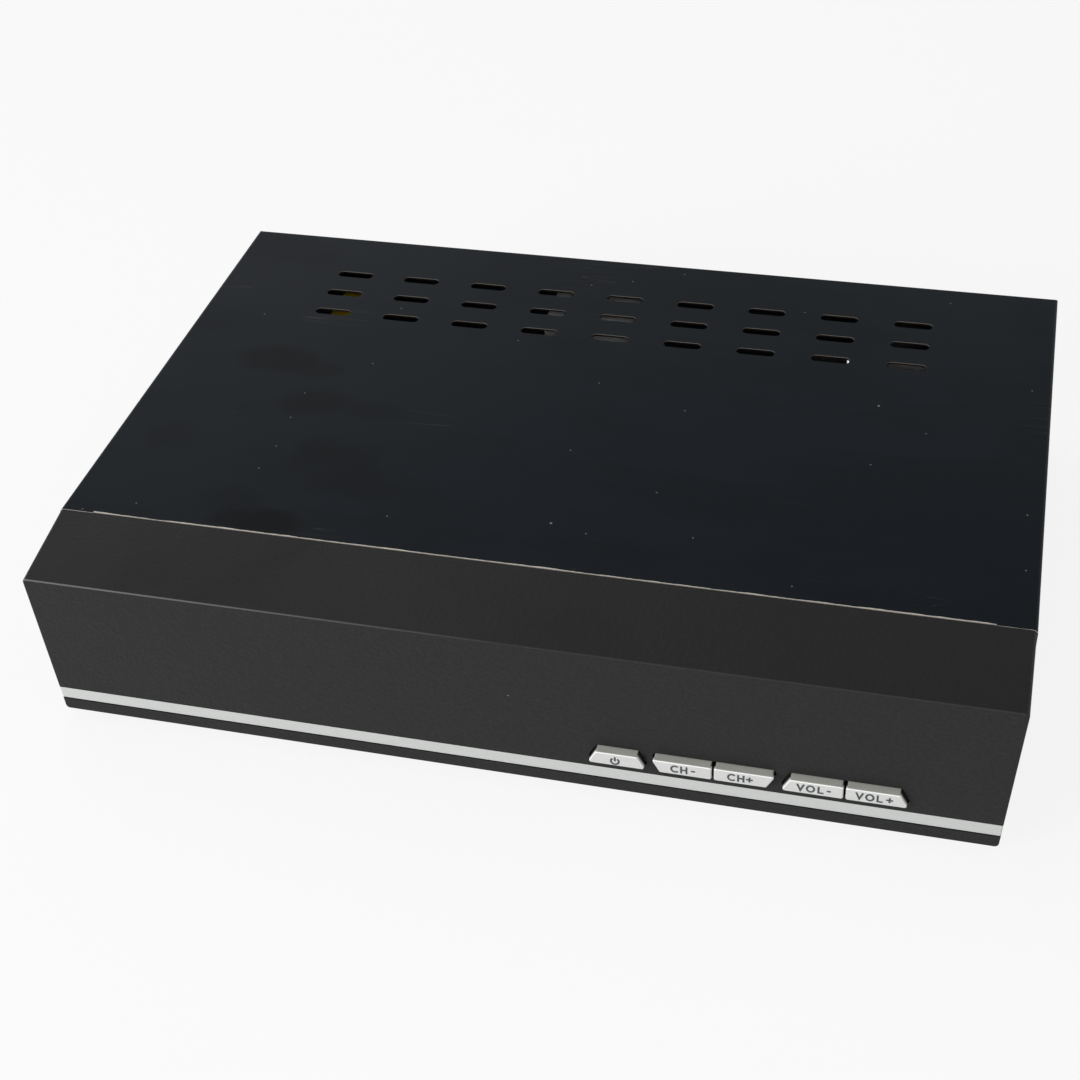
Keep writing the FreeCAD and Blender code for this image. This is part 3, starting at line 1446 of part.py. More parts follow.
def supply_wires():
    """Wires that arch from the power board's plug to the main board's plug."""
    over = "board_top + plug_height"
    wires = []
    for n in range(count("wires")):
        y = f"lead_y + ({n} - (wires - 1) / 2) * wire_pitch"
        points = [("lead_from", y, over), ("lead_from", y, f"{over} + lead_rise"),
                  ("lead_to", y, f"{over} + lead_rise"), ("lead_to", y, over)]
        ring = Part.Circle(vector(points[0]), FreeCAD.Vector(0, 0, 1), value("wire_radius"))
        wires.append(swept(Part.Wire(ring.toShape()), bent_path(points)))
    lead("supply_lead", wires)


def plugs():
    ends = [brick((x, "lead_y"), "plug_depth", "plug_width", "board_top", "plug_height")
            for x in ("lead_from", "lead_to")]
    ends.append(brick(("ribbon_x", "ribbon_board_y"), "plug_width", "plug_depth", "board_top", "plug_height"))
    ends.append(brick(("ribbon_x", "key_board_rear + plug_depth / 2"), "plug_width", "plug_depth",
                      "ribbon_z - plug_height / 2", "plug_height"))
    piece("lead_plugs", group(ends))


def build():
    top_cover()
    base_chassis()
    front_panel()
    trim_strip()
    feet()
    keys = ("power", "channel_down", "channel_up", "volume_down", "volume_up")
    for name in keys:
        key(name)
        plunger(name)
    switches(keys)
    key_board()
    screws()
    boards()
    decoder()
    board_parts()
    tuner()
    aerial_sockets()
    small_sockets()
    audio_socket()
    network()
    av()
    mains_inlet()
    transformer()
    power_parts()
    heat_plate()
    insulation()
    front_ribbon()
    supply_wires()
    plugs()


def write():
    doc.recompute()
    failed = [item.Name for item in doc.Objects if "Invalid" in item.State or "Error" in item.State]
    failed += [node for node, item in pieces.items() if item.Shape.isNull() or not item.Shape.isValid()]
    if failed:
        raise ValueError(f"not built: {failed}")
    os.makedirs("parts", exist_ok=True)
    for node, item in pieces.items():
        item.Shape.exportStep(f"parts/{node}.step")
        print(node, len(item.Shape.Solids), round(item.Shape.Volume, 1))


build()
write()
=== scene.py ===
from math import pi, radians

import bpy
import numpy as np
from mathutils import Matrix, Vector


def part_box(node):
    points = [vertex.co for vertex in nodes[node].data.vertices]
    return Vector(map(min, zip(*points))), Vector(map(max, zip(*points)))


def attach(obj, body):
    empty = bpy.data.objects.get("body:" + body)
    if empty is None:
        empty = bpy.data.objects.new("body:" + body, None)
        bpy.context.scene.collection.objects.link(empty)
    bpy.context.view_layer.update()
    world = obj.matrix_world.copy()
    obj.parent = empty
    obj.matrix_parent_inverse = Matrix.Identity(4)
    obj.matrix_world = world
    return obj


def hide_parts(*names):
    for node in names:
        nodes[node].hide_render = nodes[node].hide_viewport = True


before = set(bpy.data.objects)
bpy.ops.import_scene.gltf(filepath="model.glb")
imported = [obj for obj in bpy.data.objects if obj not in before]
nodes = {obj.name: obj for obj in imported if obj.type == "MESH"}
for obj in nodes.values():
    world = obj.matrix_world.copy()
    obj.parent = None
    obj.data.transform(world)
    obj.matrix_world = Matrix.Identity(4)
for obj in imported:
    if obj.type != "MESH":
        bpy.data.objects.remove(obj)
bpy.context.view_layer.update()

mm = 0.001
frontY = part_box("front_panel")[0].y    # the panel's face
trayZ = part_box("base_chassis")[0].z    # the tray's underside
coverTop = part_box("top_cover")[1].z
print("frame loaded:", len(nodes), "nodes")


# camera, with the place and the lens that fit the receiver's corners

view = {
    "place": (0.09070, -0.35393, 0.30390),
    "right": (0.96921, 0.24172, -0.04705),
    "up": (-0.11752, 0.62195, 0.77419),
    "lens": 60.980,
    "sensor": 36.0,
    "clipStart": 0.01,
}


def place(name, data):
    item = bpy.data.objects.new(name, data)
    bpy.context.scene.collection.objects.link(item)
    return item


cameraData = bpy.data.cameras.new("camera")
cameraData.sensor_fit = "HORIZONTAL"
cameraData.sensor_width = view["sensor"]
cameraData.lens = view["lens"]
cameraData.clip_start = view["clipStart"]
camera = place("camera", cameraData)
right = Vector(view["right"]).normalized()
back = right.cross(Vector(view["up"])).normalized()
up = back.cross(right)
axes = Matrix((right, up, back)).transposed().to_4x4()
camera.matrix_world = Matrix.Translation(view["place"]) @ axes
bpy.context.scene.camera = camera
print("camera placed")


# small helpers that add and join a finish's nodes

def put(tree, kind, sockets=None, output=0, **fields):
    # adds one node: numbers and colours go on its sockets, and a socket given as a value is linked
    node = tree.nodes.new("ShaderNode" + kind)
    for field, value in fields.items():
        setattr(node, field, value)
    for name, value in (sockets or {}).items():
        if isinstance(value, bpy.types.NodeSocket):
            tree.links.new(value, node.inputs[name])
        else:
            node.inputs[name].default_value = value
    return node.outputs[output]


def calc(tree, operation, a, b=0.0, clamp=False):
    return put(tree, "Math", {0: a, 1: b}, operation=operation, use_clamp=clamp)


def add(tree, a, b, clamp=False):
    return calc(tree, "ADD", a, b, clamp)


def above(tree, value, level):
    return calc(tree, "GREATER_THAN", value, level)


def below(tree, value, level):
    return calc(tree, "LESS_THAN", value, level)


def larger(tree, a, b):
    return calc(tree, "MAXIMUM", a, b)


def within(tree, value, reach):
    # 1 where the value lies inside -reach .. reach
    return below(tree, calc(tree, "ABSOLUTE", value), reach)


def both(tree, *parts):
    # the product of masks, shares or numbers
    result = parts[0]
    for part in parts[1:]:
        result = calc(tree, "MULTIPLY", result, part)
    return result


def fade(tree, value, none, full):
    # 0 at none, 1 at full, and a smooth step between
    return put(tree, "MapRange", {0: value, 1: none, 2: full}, interpolation_type="SMOOTHSTEP")


def spread(tree, value, low, high, start=0.0, end=1.0):
    # low at start, high at end, and a straight run between
    return put(tree, "MapRange", {0: value, 1: start, 2: end, 3: low, 4: high})


def spreadNoise(tree, value, low, high):
    # low .. high over the middle of a noise, where most of it lies
    return spread(tree, value, low, high, 0.3, 0.7)


def roughAround(tree, value, look):
    # a look's roughness, less and more by its spread, over the middle of a noise
    middle, reach = look["rough"], look["roughSpread"]
    return spreadNoise(tree, value, middle - reach, middle + reach)


def tint(tree, factor, first, second):
    # colour that goes from first to second with the factor
    return put(tree, "Mix", {0: factor, 6: first, 7: second}, output=2, data_type="RGBA")


def noise(tree, where, scale, detail=2.0, rough=0.5, twist=0.0):
    return put(tree, "TexNoise", {"Vector": where, "Scale": scale, "Detail": detail, "Roughness": rough,
                                  "Distortion": twist})


def laid(tree, where, scale, turn=(0.0, 0.0, 0.0)):
    # a pattern's coordinates, stretched along the axes and turned by degrees
    return put(tree, "Mapping", {"Vector": where, "Scale": scale,
                                 "Rotation": tuple(radians(angle) for angle in turn)})


def parts3(tree, vector):
    # the three parts of a vector
    node = tree.nodes.new("ShaderNodeSeparateXYZ")
    tree.links.new(vector, node.inputs[0])
    return tuple(node.outputs)


def facing(tree):
    # how far the surface faces each axis
    return parts3(tree, put(tree, "NewGeometry", output=1))


def shade(colour, factor=1.0):
    return tuple(min(1.0, part * factor) for part in colour) + (1.0,)


def grey(level):
    return (level, level, level, 1.0)


def shades(tree, factor, colour, limits):
    # one colour that goes from its darker to its lighter shade with the factor
    return tint(tree, factor, shade(colour, limits[0]), shade(colour, limits[1]))


def newFinish(name, **values):
    # a Principled surface with its constants on its own sockets, and the Object coordinates
    material = bpy.data.materials.new(name)
    material.use_nodes = True
    tree = material.node_tree
    shader = tree.nodes["Principled BSDF"]
    for socket, value in values.items():
        shader.inputs[socket.replace("_", " ")].default_value = value
    return material, tree, shader, put(tree, "TexCoord", output=3)


def wire(tree, shader, colour, rough=None, height=None, depth=0.0, metal=None):
    # links the worked-out colour, roughness, metal share and relief to the shader
    for socket, value in (("Base Color", colour), ("Roughness", rough), ("Metallic", metal)):
        if value is not None:
            tree.links.new(value, shader.inputs[socket])
    if height is not None:
        bump = put(tree, "Bump", {"Height": height, "Distance": depth, "Strength": 1.0})
        tree.links.new(bump, shader.inputs["Normal"])


def hairlines(tree, where, turn, along, across, width, patches):
    # isolines of a noise that is stretched along one direction: long thin scratches, in some patches
    level = noise(tree, laid(tree, where, (along, across, 1.0), (0.0, 0.0, turn)), 1.0, 1.0)
    line = fade(tree, calc(tree, "ABSOLUTE", calc(tree, "SUBTRACT", level, 0.5)), width, 0.0)
    return both(tree, line, fade(tree, noise(tree, where, patches, 1.0), 0.62, 0.70))


def specks(tree, where, scale, radius, share):
    # a small round speck at the middle of some of the cells of a flat pattern
    near, lot = (put(tree, "TexVoronoi", {"Vector": where, "Scale": scale}, output,
                     voronoi_dimensions="2D") for output in (0, 1))
    return both(tree, below(tree, near, radius * scale), below(tree, parts3(tree, lot)[0], share))


# painted steel cover; a noise is given by its scale, detail, roughness and distortion

coverLook = {
    "paint": (0.0052, 0.0078, 0.0110),
    "gloss": 0.04,
    "rough": (0.42, 0.48),     # clean paint, and paint that was touched
    "peel": (1500.0, 2.0),
    "peelDepth": 0.000006,
    "smudge": (15.0, 3.0, 0.55, 1.2),
    "wiped": (11.0, 4.0, 0.6, 0.5),
    "wipeTurn": (0.0, 0.0, 24.0),
    "wipeLay": (1.0, 5.0, 1.0),
    "handled": (0.20, 0.36),
    "handledShade": 0.84,
    "handledGrease": 0.6,
    "scratch": 0.035,
    "scratches": [
        # turn, scale along and across, width, scale of the patches
        (32.0, 9.0, 210.0, 0.006, 26.2),
        (-68.0, 12.0, 260.0, 0.005, 16.2),
    ],
    "dust": 0.22,
    "specks": [
        # cells in a metre, radius, share of the cells
        (85.0, 0.00017, 0.15),
        (30.0, 0.00029, 0.14),
    ],
    "greasy": 0.30,            # how much of the paint's own colour is left under a finger mark
    "ragged": (95.0, 2.0, 0.55),
    "raggedness": 1.3,
    "ovalEdge": (1.55, 0.25),
    "fingerMarks": [
        # middle and half lengths in mm along x and y, strength
        (-81.5, 10.2, 11.5, 5.6, 0.70),
        (-69.5, 6.8, 7.0, 3.6, 0.50),
        (-66.5, -7.0, 10.5, 5.0, 0.55),
        (-50.0, -7.6, 9.0, 4.2, 0.40),
        (-54.5, -27.5, 10.5, 7.2, 0.60),
        (-46.5, -36.5, 11.0, 6.6, 0.50),
        (-72.0, -47.5, 7.5, 5.0, 0.35),
        (-62.5, -54.6, 12.0, 5.0, 1.00),
        (-96.0, -26.5, 6.5, 5.4, 0.35),
    ],
    "topFacing": 0.9,
    "cutFacing": 0.4,
    "sheet": 0.00062,          # how far down from the top the cut edges reach
    "cutHalf": 0.0705,         # beyond this along y is the painted rear fold
    "bare": (0.50, 0.465, 0.41),
    "bareShades": (0.75, 1.2),
    "bareMetal": 0.25,
    "streak": (420.0, 3.0, 0.6),
    "streakLay": (1.0, 1.0, 9.0),
    "bareHalf": 0.1015,        # half the length of the bare front edge
    "cornerHalf": 0.1025,      # beyond this along x are the sheet's corners
    "edgeBack": 0.0219,        # from the panel's face to the sheet's corners
    "edgeSetback": 0.0003,     # the sheet's edge between the corners lies this much further back
    "chipped": 0.00030,        # width of the strip along the edge that has lost its paint
    "chippedEnds": 0.35,       # share of that width at the corners
    "chips": (90.0, 4.0, 0.7),
    "chipShares": (0.25, 1.35, 0.35, 0.65),
    "slotsStart": -0.05,       # the cut edges behind this are the slots' walls
    # painted shade: the slots' bare cut walls are coloured near black, below a thin rim of bare metal
    # darker than the front edge
    "slotWallShade": (0.0075, 0.0065, 0.0060),
    "slotRim": (0.17, 0.15, 0.13),
    "slotRimDepth": 0.00014,
}


def fingerMarks(tree, where, x, y, look):
    # soft ovals, (x / half x) squared + (y / half y) squared, whose edge wanders with a noise;
    # the strongest one counts where they meet
    wander = spread(tree, noise(tree, where, *look["ragged"]), -look["raggedness"], look["raggedness"])
    found = None
    for middleX, middleY, halfX, halfY, strength in look["fingerMarks"]:
        across = calc(tree, "DIVIDE", calc(tree, "SUBTRACT", x, middleX * mm), halfX * mm)
        along = calc(tree, "DIVIDE", calc(tree, "SUBTRACT", y, middleY * mm), halfY * mm)
        reach = add(tree, both(tree, across, across), both(tree, along, along))
        oval = both(tree, fade(tree, add(tree, reach, wander), *look["ovalEdge"]), strength)
        found = larger(tree, found, oval) if found else oval
    return found


def coverPaint(tree, where, x, y, top, look):
    # the paint's colour under what handling left on it, and its roughness
    smudge = noise(tree, where, *look["smudge"])
    wiped = noise(tree, laid(tree, where, look["wipeLay"], look["wipeTurn"]), *look["wiped"])
    handled = fade(tree, both(tree, smudge, wiped), *look["handled"])
    paint = shades(tree, handled, look["paint"], (1.0, look["handledShade"]))
    marks = both(tree, fingerMarks(tree, where, x, y, look), top)
    paint = tint(tree, marks, paint, shade(look["paint"], look["greasy"]))
    fine = add(tree, *(hairlines(tree, where, *line) for line in look["scratches"]), clamp=True)
    paint = tint(tree, both(tree, fine, top), paint, grey(look["scratch"]))
    dust = add(tree, *(specks(tree, where, *lot) for lot in look["specks"]), clamp=True)
    paint = tint(tree, both(tree, dust, top), paint, grey(look["dust"]))
    touched = larger(tree, both(tree, handled, look["handledGrease"]), marks)
    return paint, spread(tree, touched, *look["rough"])


def chippedEdge(tree, where, x, y, look):
    # paint lost along the sheet's front edge, by a width that wanders and is smaller at the corners
    between = within(tree, x, look["cornerHalf"])
    start = add(tree, both(tree, between, look["edgeSetback"]), frontY + look["edgeBack"])
    wear = spread(tree, noise(tree, where, *look["chips"]), *look["chipShares"])
    width = spread(tree, between, look["chippedEnds"] * look["chipped"], look["chipped"])
    return below(tree, y, add(tree, start, both(tree, wear, width)))


def coverFinish(look):
    finish, tree, shader, where = newFinish("coverPaint", Specular_IOR_Level=look["gloss"])
    x, y, z = parts3(tree, where)
    faceZ = facing(tree)[2]
    paint, rough = coverPaint(tree, where, x, y, above(tree, faceZ, look["topFacing"]), look)
    sheet = above(tree, z, coverTop - look["sheet"])
    cut = both(tree, sheet, within(tree, faceZ, look["cutFacing"]), within(tree, x, look["bareHalf"]),
               within(tree, y, look["cutHalf"]))
    # painted shade inside the slots: their bare walls go near black below the rim
    slot = both(tree, cut, above(tree, y, look["slotsStart"]))
    rim = both(tree, slot, above(tree, z, coverTop - look["slotRimDepth"]))
    colour = tint(tree, slot, paint, shade(look["slotWallShade"]))
    colour = tint(tree, rim, colour, shade(look["slotRim"]))
    front = both(tree, cut, below(tree, y, look["slotsStart"]))
    front = larger(tree, front, both(tree, chippedEdge(tree, where, x, y, look), sheet))
    streak = noise(tree, laid(tree, where, look["streakLay"]), *look["streak"])
    colour = tint(tree, front, colour, shades(tree, streak, look["bare"], look["bareShades"]))
    wire(tree, shader, colour, rough, noise(tree, where, *look["peel"]), look["peelDepth"],
         metal=both(tree, front, look["bareMetal"]))
    return finish


# moulded front panel

panelLook = {
    "colour": (0.0178, 0.0180, 0.0179),
    "gloss": 0.13,
    "rough": (0.43, 0.55),
    "rubbed": (26.0, 3.0, 0.6, 0.8),
    "pebble": 1150.0,
    "pebbleSoftness": 0.35,
    "pebbleShare": 0.55,
    "pebbleDepth": 0.00010,
    "fold": (520.0, 4.0, 0.62, 0.8),
    "foldShare": 0.75,
    "mottle": (45.0, 3.0),
    "mottleShades": (0.93, 1.07),
    "valleyNoise": (1150.0 * 1.15, 1.5, 0.5),
    "valleyPull": 0.18,        # how much the pebbles push the valleys aside
    # painted shade in the pebbles' valleys and painted highlight on their crests, as shares of the colour
    "valleyReach": (0.50, 0.30),
    "reliefShading": 0.86,
    "crestReach": (0.48, 0.64),
    "crestHighlight": 1.09,
    # painted shade: the upward-facing slope is coloured darker than the face, as a share of its colour
    "slopeFacing": (0.90, 0.97),
    "slopePaintedShade": 0.42,
    "ridgeHighlight": (0.115, 0.115, 0.120),    # painted highlight along the rounded ridge where the slope meets the face
    "ridgeFrom": (0.12, 0.30),         # how far up the surface faces where the line comes in
    "ridgeTo": (0.97, 0.85),           # and where it goes out again
    "ridgeHeight": 0.030,
    "ridgeBack": 0.002,
    "ridgeShares": (1.0, 0.05, -0.09, 0.0),    # strong at x = -0.09, weak from the middle on
    "dust": 0.15,
    "specks": (47.0, 0.00018, 0.12),
    "dustBack": 0.022,
}


def panelFinish(look):
    # small uneven pebbles, as an etched mould leaves, over a slow unevenness
    finish, tree, shader, where = newFinish("panelPlastic", Specular_IOR_Level=look["gloss"])
    x, y, z = parts3(tree, where)
    faceZ = facing(tree)[2]
    own = look["colour"]
    pebble = put(tree, "TexVoronoi", {"Vector": where, "Scale": look["pebble"],
                                      "Smoothness": look["pebbleSoftness"]}, feature="SMOOTH_F1")
    fold = noise(tree, where, *look["fold"])
    height = add(tree, both(tree, pebble, look["pebbleShare"]), both(tree, fold, look["foldShare"]))
    colour = shades(tree, noise(tree, where, *look["mottle"]), own, look["mottleShades"])
    # painted shade in the valleys between the pebbles and painted highlight on their crests, standing in
    # for the light on the relief
    reliefShading = calc(tree, "SUBTRACT", noise(tree, where, *look["valleyNoise"]),
                  both(tree, pebble, look["valleyPull"]))
    colour = tint(tree, fade(tree, reliefShading, *look["valleyReach"]), colour, shade(own, look["reliefShading"]))
    colour = tint(tree, fade(tree, reliefShading, *look["crestReach"]), colour, shade(own, look["crestHighlight"]))
    # painted shade on the slope, which faces up
    colour = tint(tree, fade(tree, faceZ, *look["slopeFacing"]), colour, shade(own, look["slopePaintedShade"]))
    # painted highlight along the rounded ridge, strong at the left and weak from the middle on
    ridgeHighlightMask = both(tree, fade(tree, faceZ, *look["ridgeFrom"]), fade(tree, faceZ, *look["ridgeTo"]),
                above(tree, z, look["ridgeHeight"]), below(tree, y, frontY + look["ridgeBack"]))
    ridgeHighlightMask = both(tree, ridgeHighlightMask, spread(tree, x, *look["ridgeShares"]))
    colour = tint(tree, ridgeHighlightMask, colour, shade(look["ridgeHighlight"]))
    upright = laid(tree, where, (1.0, 1.0, 1.0), (90.0, 0.0, 0.0))
    dust = both(tree, specks(tree, upright, *look["specks"]), below(tree, y, frontY + look["dustBack"]))
    colour = tint(tree, dust, colour, grey(look["dust"]))
    rough = spreadNoise(tree, noise(tree, where, *look["rubbed"]), *look["rough"])
    wire(tree, shader, colour, rough, height, look["pebbleDepth"])
    return finish


# plain moulded finishes; each look says what differs from the usual, and a noise's kind is its
# detail, roughness and distortion

mouldedUsual = {"mottle": 60.0, "mottleKind": (3.0, 0.6), "smudge": 35.0, "smudgeKind": (4.0, 0.55, 0.6),
                "grainKind": (3.0, 0.6), "shades": (0.9, 1.1), "roughSpread": 0.06, "depth": 0.00001,
                "sockets": {}}

mouldedLooks = {
    "stripPaint": {"colour": (0.50, 0.51, 0.50), "rough": 0.46, "grain": 5200.0, "depth": 0.000004,
                   "mottle": 900.0, "shades": (0.97, 1.03)},
    "keyInk": {"colour": (0.042, 0.045, 0.050), "rough": 0.55, "grain": 6000.0, "depth": 0.000003},
    "trayCoat": {"colour": (0.0105, 0.0112, 0.0122), "rough": 0.40, "grain": 1500.0, "depth": 0.000008,
                 "smudge": 22.0, "sockets": {"Specular_IOR_Level": 0.25}},
    "footRubber": {"colour": (0.022, 0.022, 0.022), "rough": 0.82, "grain": 2100.0, "depth": 0.00003},
    "blackPlastic": {"colour": (0.014, 0.014, 0.0145), "rough": 0.48, "grain": 1900.0},
    "switchPlastic": {"colour": (0.035, 0.035, 0.036), "rough": 0.55, "grain": 2600.0, "depth": 0.000008},
    "whiteNylon": {"colour": (0.76, 0.75, 0.70), "rough": 0.46, "grain": 1700.0,
                   "sockets": {"Subsurface_Weight": 0.05}},
    "paleInsulator": {"colour": (0.70, 0.71, 0.68), "rough": 0.40, "grain": 2400.0, "depth": 0.000006},
    "infraredEpoxy": {"colour": (0.018, 0.006, 0.012), "rough": 0.14, "grain": 900.0, "depth": 0.000002,
                      "sockets": {"Coat_Weight": 0.5}},
    "lampEpoxy": {"colour": (0.55, 0.03, 0.02), "rough": 0.12, "grain": 900.0, "depth": 0.000002,
                  "sockets": {"Coat_Weight": 0.6}},
    "chipEpoxy": {"colour": (0.020, 0.020, 0.021), "rough": 0.62, "grain": 5200.0,
                  "mottle": 3200.0, "shades": (0.7, 1.3)},
    "ferrite": {"colour": (0.050, 0.050, 0.052), "rough": 0.58, "grain": 1300.0, "depth": 0.00003,
                "shades": (0.8, 1.25)},
    "filmSheet": {"colour": (0.030, 0.030, 0.031), "rough": 0.30, "grain": 160.0, "depth": 0.00006},
    "tunerTin": {"colour": (0.88, 0.88, 0.87), "rough": 0.40, "grain": 900.0,
                 "shades": (0.90, 1.06), "sockets": {"Metallic": 0.20}},
    "capBox": {"colour": (0.62, 0.44, 0.04), "rough": 0.34, "grain": 1500.0, "depth": 0.000006},
}


def mouldedFinish(name, look):
    # colour mottled by slow noise, roughness by a second one, and a fine even grain in relief
    look = {**mouldedUsual, **look}
    finish, tree, shader, where = newFinish(name, **look["sockets"])
    mottle = noise(tree, where, look["mottle"], *look["mottleKind"])
    colour = shades(tree, mottle, look["colour"], look["shades"])
    worn = noise(tree, where, look["smudge"], *look["smudgeKind"])
    grain = noise(tree, where, look["grain"], *look["grainKind"])
    wire(tree, shader, colour, roughAround(tree, worn, look), grain, look["depth"])
    return finish


# painted keys

keyLook = {
    "paint": (0.56, 0.565, 0.555),
    "paintShades": (0.84, 1.16),
    "edge": (0.88, 0.88, 0.86),        # painted highlight along the rounded edge between face and top
    "edgeFrom": (0.10, 0.35),          # how far up the surface faces where that edge comes in
    "edgeTo": (0.92, 0.70),            # and where it goes out again
    # painted shade and reflection: the key's upward-facing top is coloured darker and more olive than its
    # face
    "top": (0.46, 0.465, 0.425),
    "topShades": (0.76, 1.24),
    "topFacing": (0.75, 0.95),
    "bare": (0.020, 0.020, 0.021),     # painted shade: near black on the key's sides behind the face, where the gap round the key lies in shade
    "gapShadeFacing": (0.35, 0.60),
    "gapShadeStart": 0.0004,
    "rough": (0.28, 0.42),
    "flake": (2100.0, 3.0, 0.7),
    "flakeShare": 0.6,
    "flakeDepth": 0.000006,
    "streak": (260.0, 3.0, 0.6),
    "streakLay": (1.0, 6.0, 6.0),
    "streakShare": 0.4,
}


def keyFinish(look):
    finish, tree, shader, where = newFinish("keyPaint")
    y = parts3(tree, where)[1]
    faceX, _, faceZ = facing(tree)
    flake = noise(tree, where, *look["flake"])
    streak = noise(tree, laid(tree, where, look["streakLay"]), *look["streak"])
    speckle = add(tree, both(tree, flake, look["flakeShare"]), both(tree, streak, look["streakShare"]))
    colour = shades(tree, speckle, look["paint"], look["paintShades"])
    # painted shade and reflection on the tops, which face up
    top = shades(tree, speckle, look["top"], look["topShades"])
    colour = tint(tree, fade(tree, faceZ, *look["topFacing"]), colour, top)
    # painted highlight along the rounded edge
    edgeHighlight = both(tree, fade(tree, faceZ, *look["edgeFrom"]), fade(tree, faceZ, *look["edgeTo"]))
    colour = tint(tree, edgeHighlight, colour, shade(look["edge"]))
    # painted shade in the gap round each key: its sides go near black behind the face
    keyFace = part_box("power_key")[0].y
    gapDepth = fade(tree, y, keyFace + look["gapShadeStart"], keyFace + 3 * look["gapShadeStart"])
    side = fade(tree, calc(tree, "ABSOLUTE", faceX), *look["gapShadeFacing"])
    colour = tint(tree, both(tree, gapDepth, side), colour, shade(look["bare"]))
    wire(tree, shader, colour, spreadNoise(tree, streak, *look["rough"]), flake, look["flakeDepth"])
    return finish


# plated, milled and wound metal

platedUsual = {"lay": (1.0, 1.0, 1.0), "cloudKind": (4.0, 0.6, 0.3), "fine": 14.0,
               "shades": (0.86, 1.08), "roughSpread": 0.08, "depth": 0.00001}

platedLooks = {
    "nickel": {"colour": (0.66, 0.64, 0.60), "rough": 0.20, "roughSpread": 0.09, "scale": 180.0,
               "depth": 0.000004},
    "tinPlate": {"colour": (0.78, 0.78, 0.77), "rough": 0.42, "roughSpread": 0.12, "scale": 90.0,
                 "lay": (1.0, 3.0, 1.0)},
    "goldContact": {"colour": (0.80, 0.56, 0.20), "rough": 0.24, "roughSpread": 0.06, "scale": 220.0,
                    "lay": (1.0, 6.0, 1.0), "depth": 0.000004},
    "zincScrew": {"colour": (0.56, 0.57, 0.58), "rough": 0.30, "roughSpread": 0.10, "scale": 500.0},
    "blackScrew": {"colour": (0.045, 0.045, 0.048), "rough": 0.36, "roughSpread": 0.10, "scale": 520.0},
    "milledAluminium": {"colour": (0.60, 0.61, 0.62), "rough": 0.36, "scale": 60.0,
                        "lay": (14.0, 1.0, 14.0)},
    "copperWire": {"colour": (0.50, 0.16, 0.05), "rough": 0.30, "scale": 300.0, "depth": 0.00002},
}


def platedFinish(name, look):
    # metal with a stretched noise in its roughness and relief, as plating and rolling leave it
    look = {**platedUsual, **look}
    finish, tree, shader, where = newFinish(name, Metallic=1.0)
    stretched = laid(tree, where, look["lay"])
    cloud = noise(tree, stretched, look["scale"], *look["cloudKind"])
    fine = noise(tree, stretched, look["scale"] * look["fine"])
    colour = shades(tree, cloud, look["colour"], look["shades"])
    wire(tree, shader, colour, roughAround(tree, cloud, look), fine, look["depth"])
    return finish


# boards and what stands on them

boardUsual = {
    "rough": 0.32,
    "faceUp": 0.9,
    "trackJitter": 0.55,
    "trackEdge": (0.46, 0.56),
    "pourScale": 1 / 5,        # poured copper, pads and printed frames, as shares of the tracks' scale
    "pourJitter": 0.9,
    "pourFrom": 0.62,
    "padScale": 1 / 1.6,
    "padRadius": 0.00042,
    "padShare": 0.34,
    "frameScale": 1 / 7,
    "frameLine": 0.006,
    "inkPatches": (70.0, 1.0),
    "inkEdge": (0.52, 0.56),
    "depth": 0.00003,
}

boardLooks = {
    "greenBoard": {"mask": (0.012, 0.115, 0.050), "track": (0.020, 0.175, 0.080), "scale": 420.0,
                   "pad": (0.60, 0.60, 0.57), "ink": (0.72, 0.74, 0.70)},
    "tanBoard": {"mask": (0.30, 0.20, 0.085), "track": (0.36, 0.25, 0.11), "scale": 240.0,
                 "pad": (0.58, 0.56, 0.52), "ink": (0.70, 0.68, 0.62)},
}


def boardFinish(name, look):
    # tracks along square cell borders, round soldered pads and a few printed frames
    look = {**boardUsual, **look}
    scale = look["scale"]
    finish, tree, shader, where = newFinish(name, Roughness=look["rough"])
    surface = above(tree, calc(tree, "ABSOLUTE", facing(tree)[2]), look["faceUp"])
    flat = laid(tree, where, (1.0, 1.0, 0.0))
    border = put(tree, "TexVoronoi", {"Vector": flat, "Scale": scale, "Randomness": look["trackJitter"]},
                 distance="MANHATTAN")
    track = fade(tree, border, *look["trackEdge"])
    wide = put(tree, "TexVoronoi", {"Vector": flat, "Scale": scale * look["pourScale"],
                                    "Randomness": look["pourJitter"]}, output=1, distance="CHEBYCHEV")
    poured = above(tree, parts3(tree, wide)[0], look["pourFrom"])
    pad = specks(tree, flat, scale * look["padScale"], look["padRadius"], look["padShare"])
    soldered = both(tree, pad, surface)
    printed = put(tree, "TexBrick", {"Vector": flat, "Scale": scale * look["frameScale"],
                                     "Mortar Size": look["frameLine"], "Color1": grey(0.0),
                                     "Color2": grey(0.0), "Mortar": grey(1.0)})
    patches = fade(tree, noise(tree, flat, *look["inkPatches"]), *look["inkEdge"])
    colour = tint(tree, larger(tree, track, poured), shade(look["mask"]), shade(look["track"]))
    colour = tint(tree, both(tree, printed, patches, surface), colour, shade(look["ink"]))
    colour = tint(tree, soldered, colour, shade(look["pad"]))
    wire(tree, shader, colour, None, add(tree, track, pad), look["depth"], metal=soldered)
    return finish


canLook = {
    "sleeve": (0.012, 0.014, 0.026),
    "metal": (0.66, 0.67, 0.68),
    "rough": (0.18, 0.32),
    "top": 0.0004,
    "topFacing": 0.8,
    "ripple": (420.0, 3.0),
    "rippleLay": (1.0, 1.0, 0.25),
    "rippleDepth": 0.00002,
}


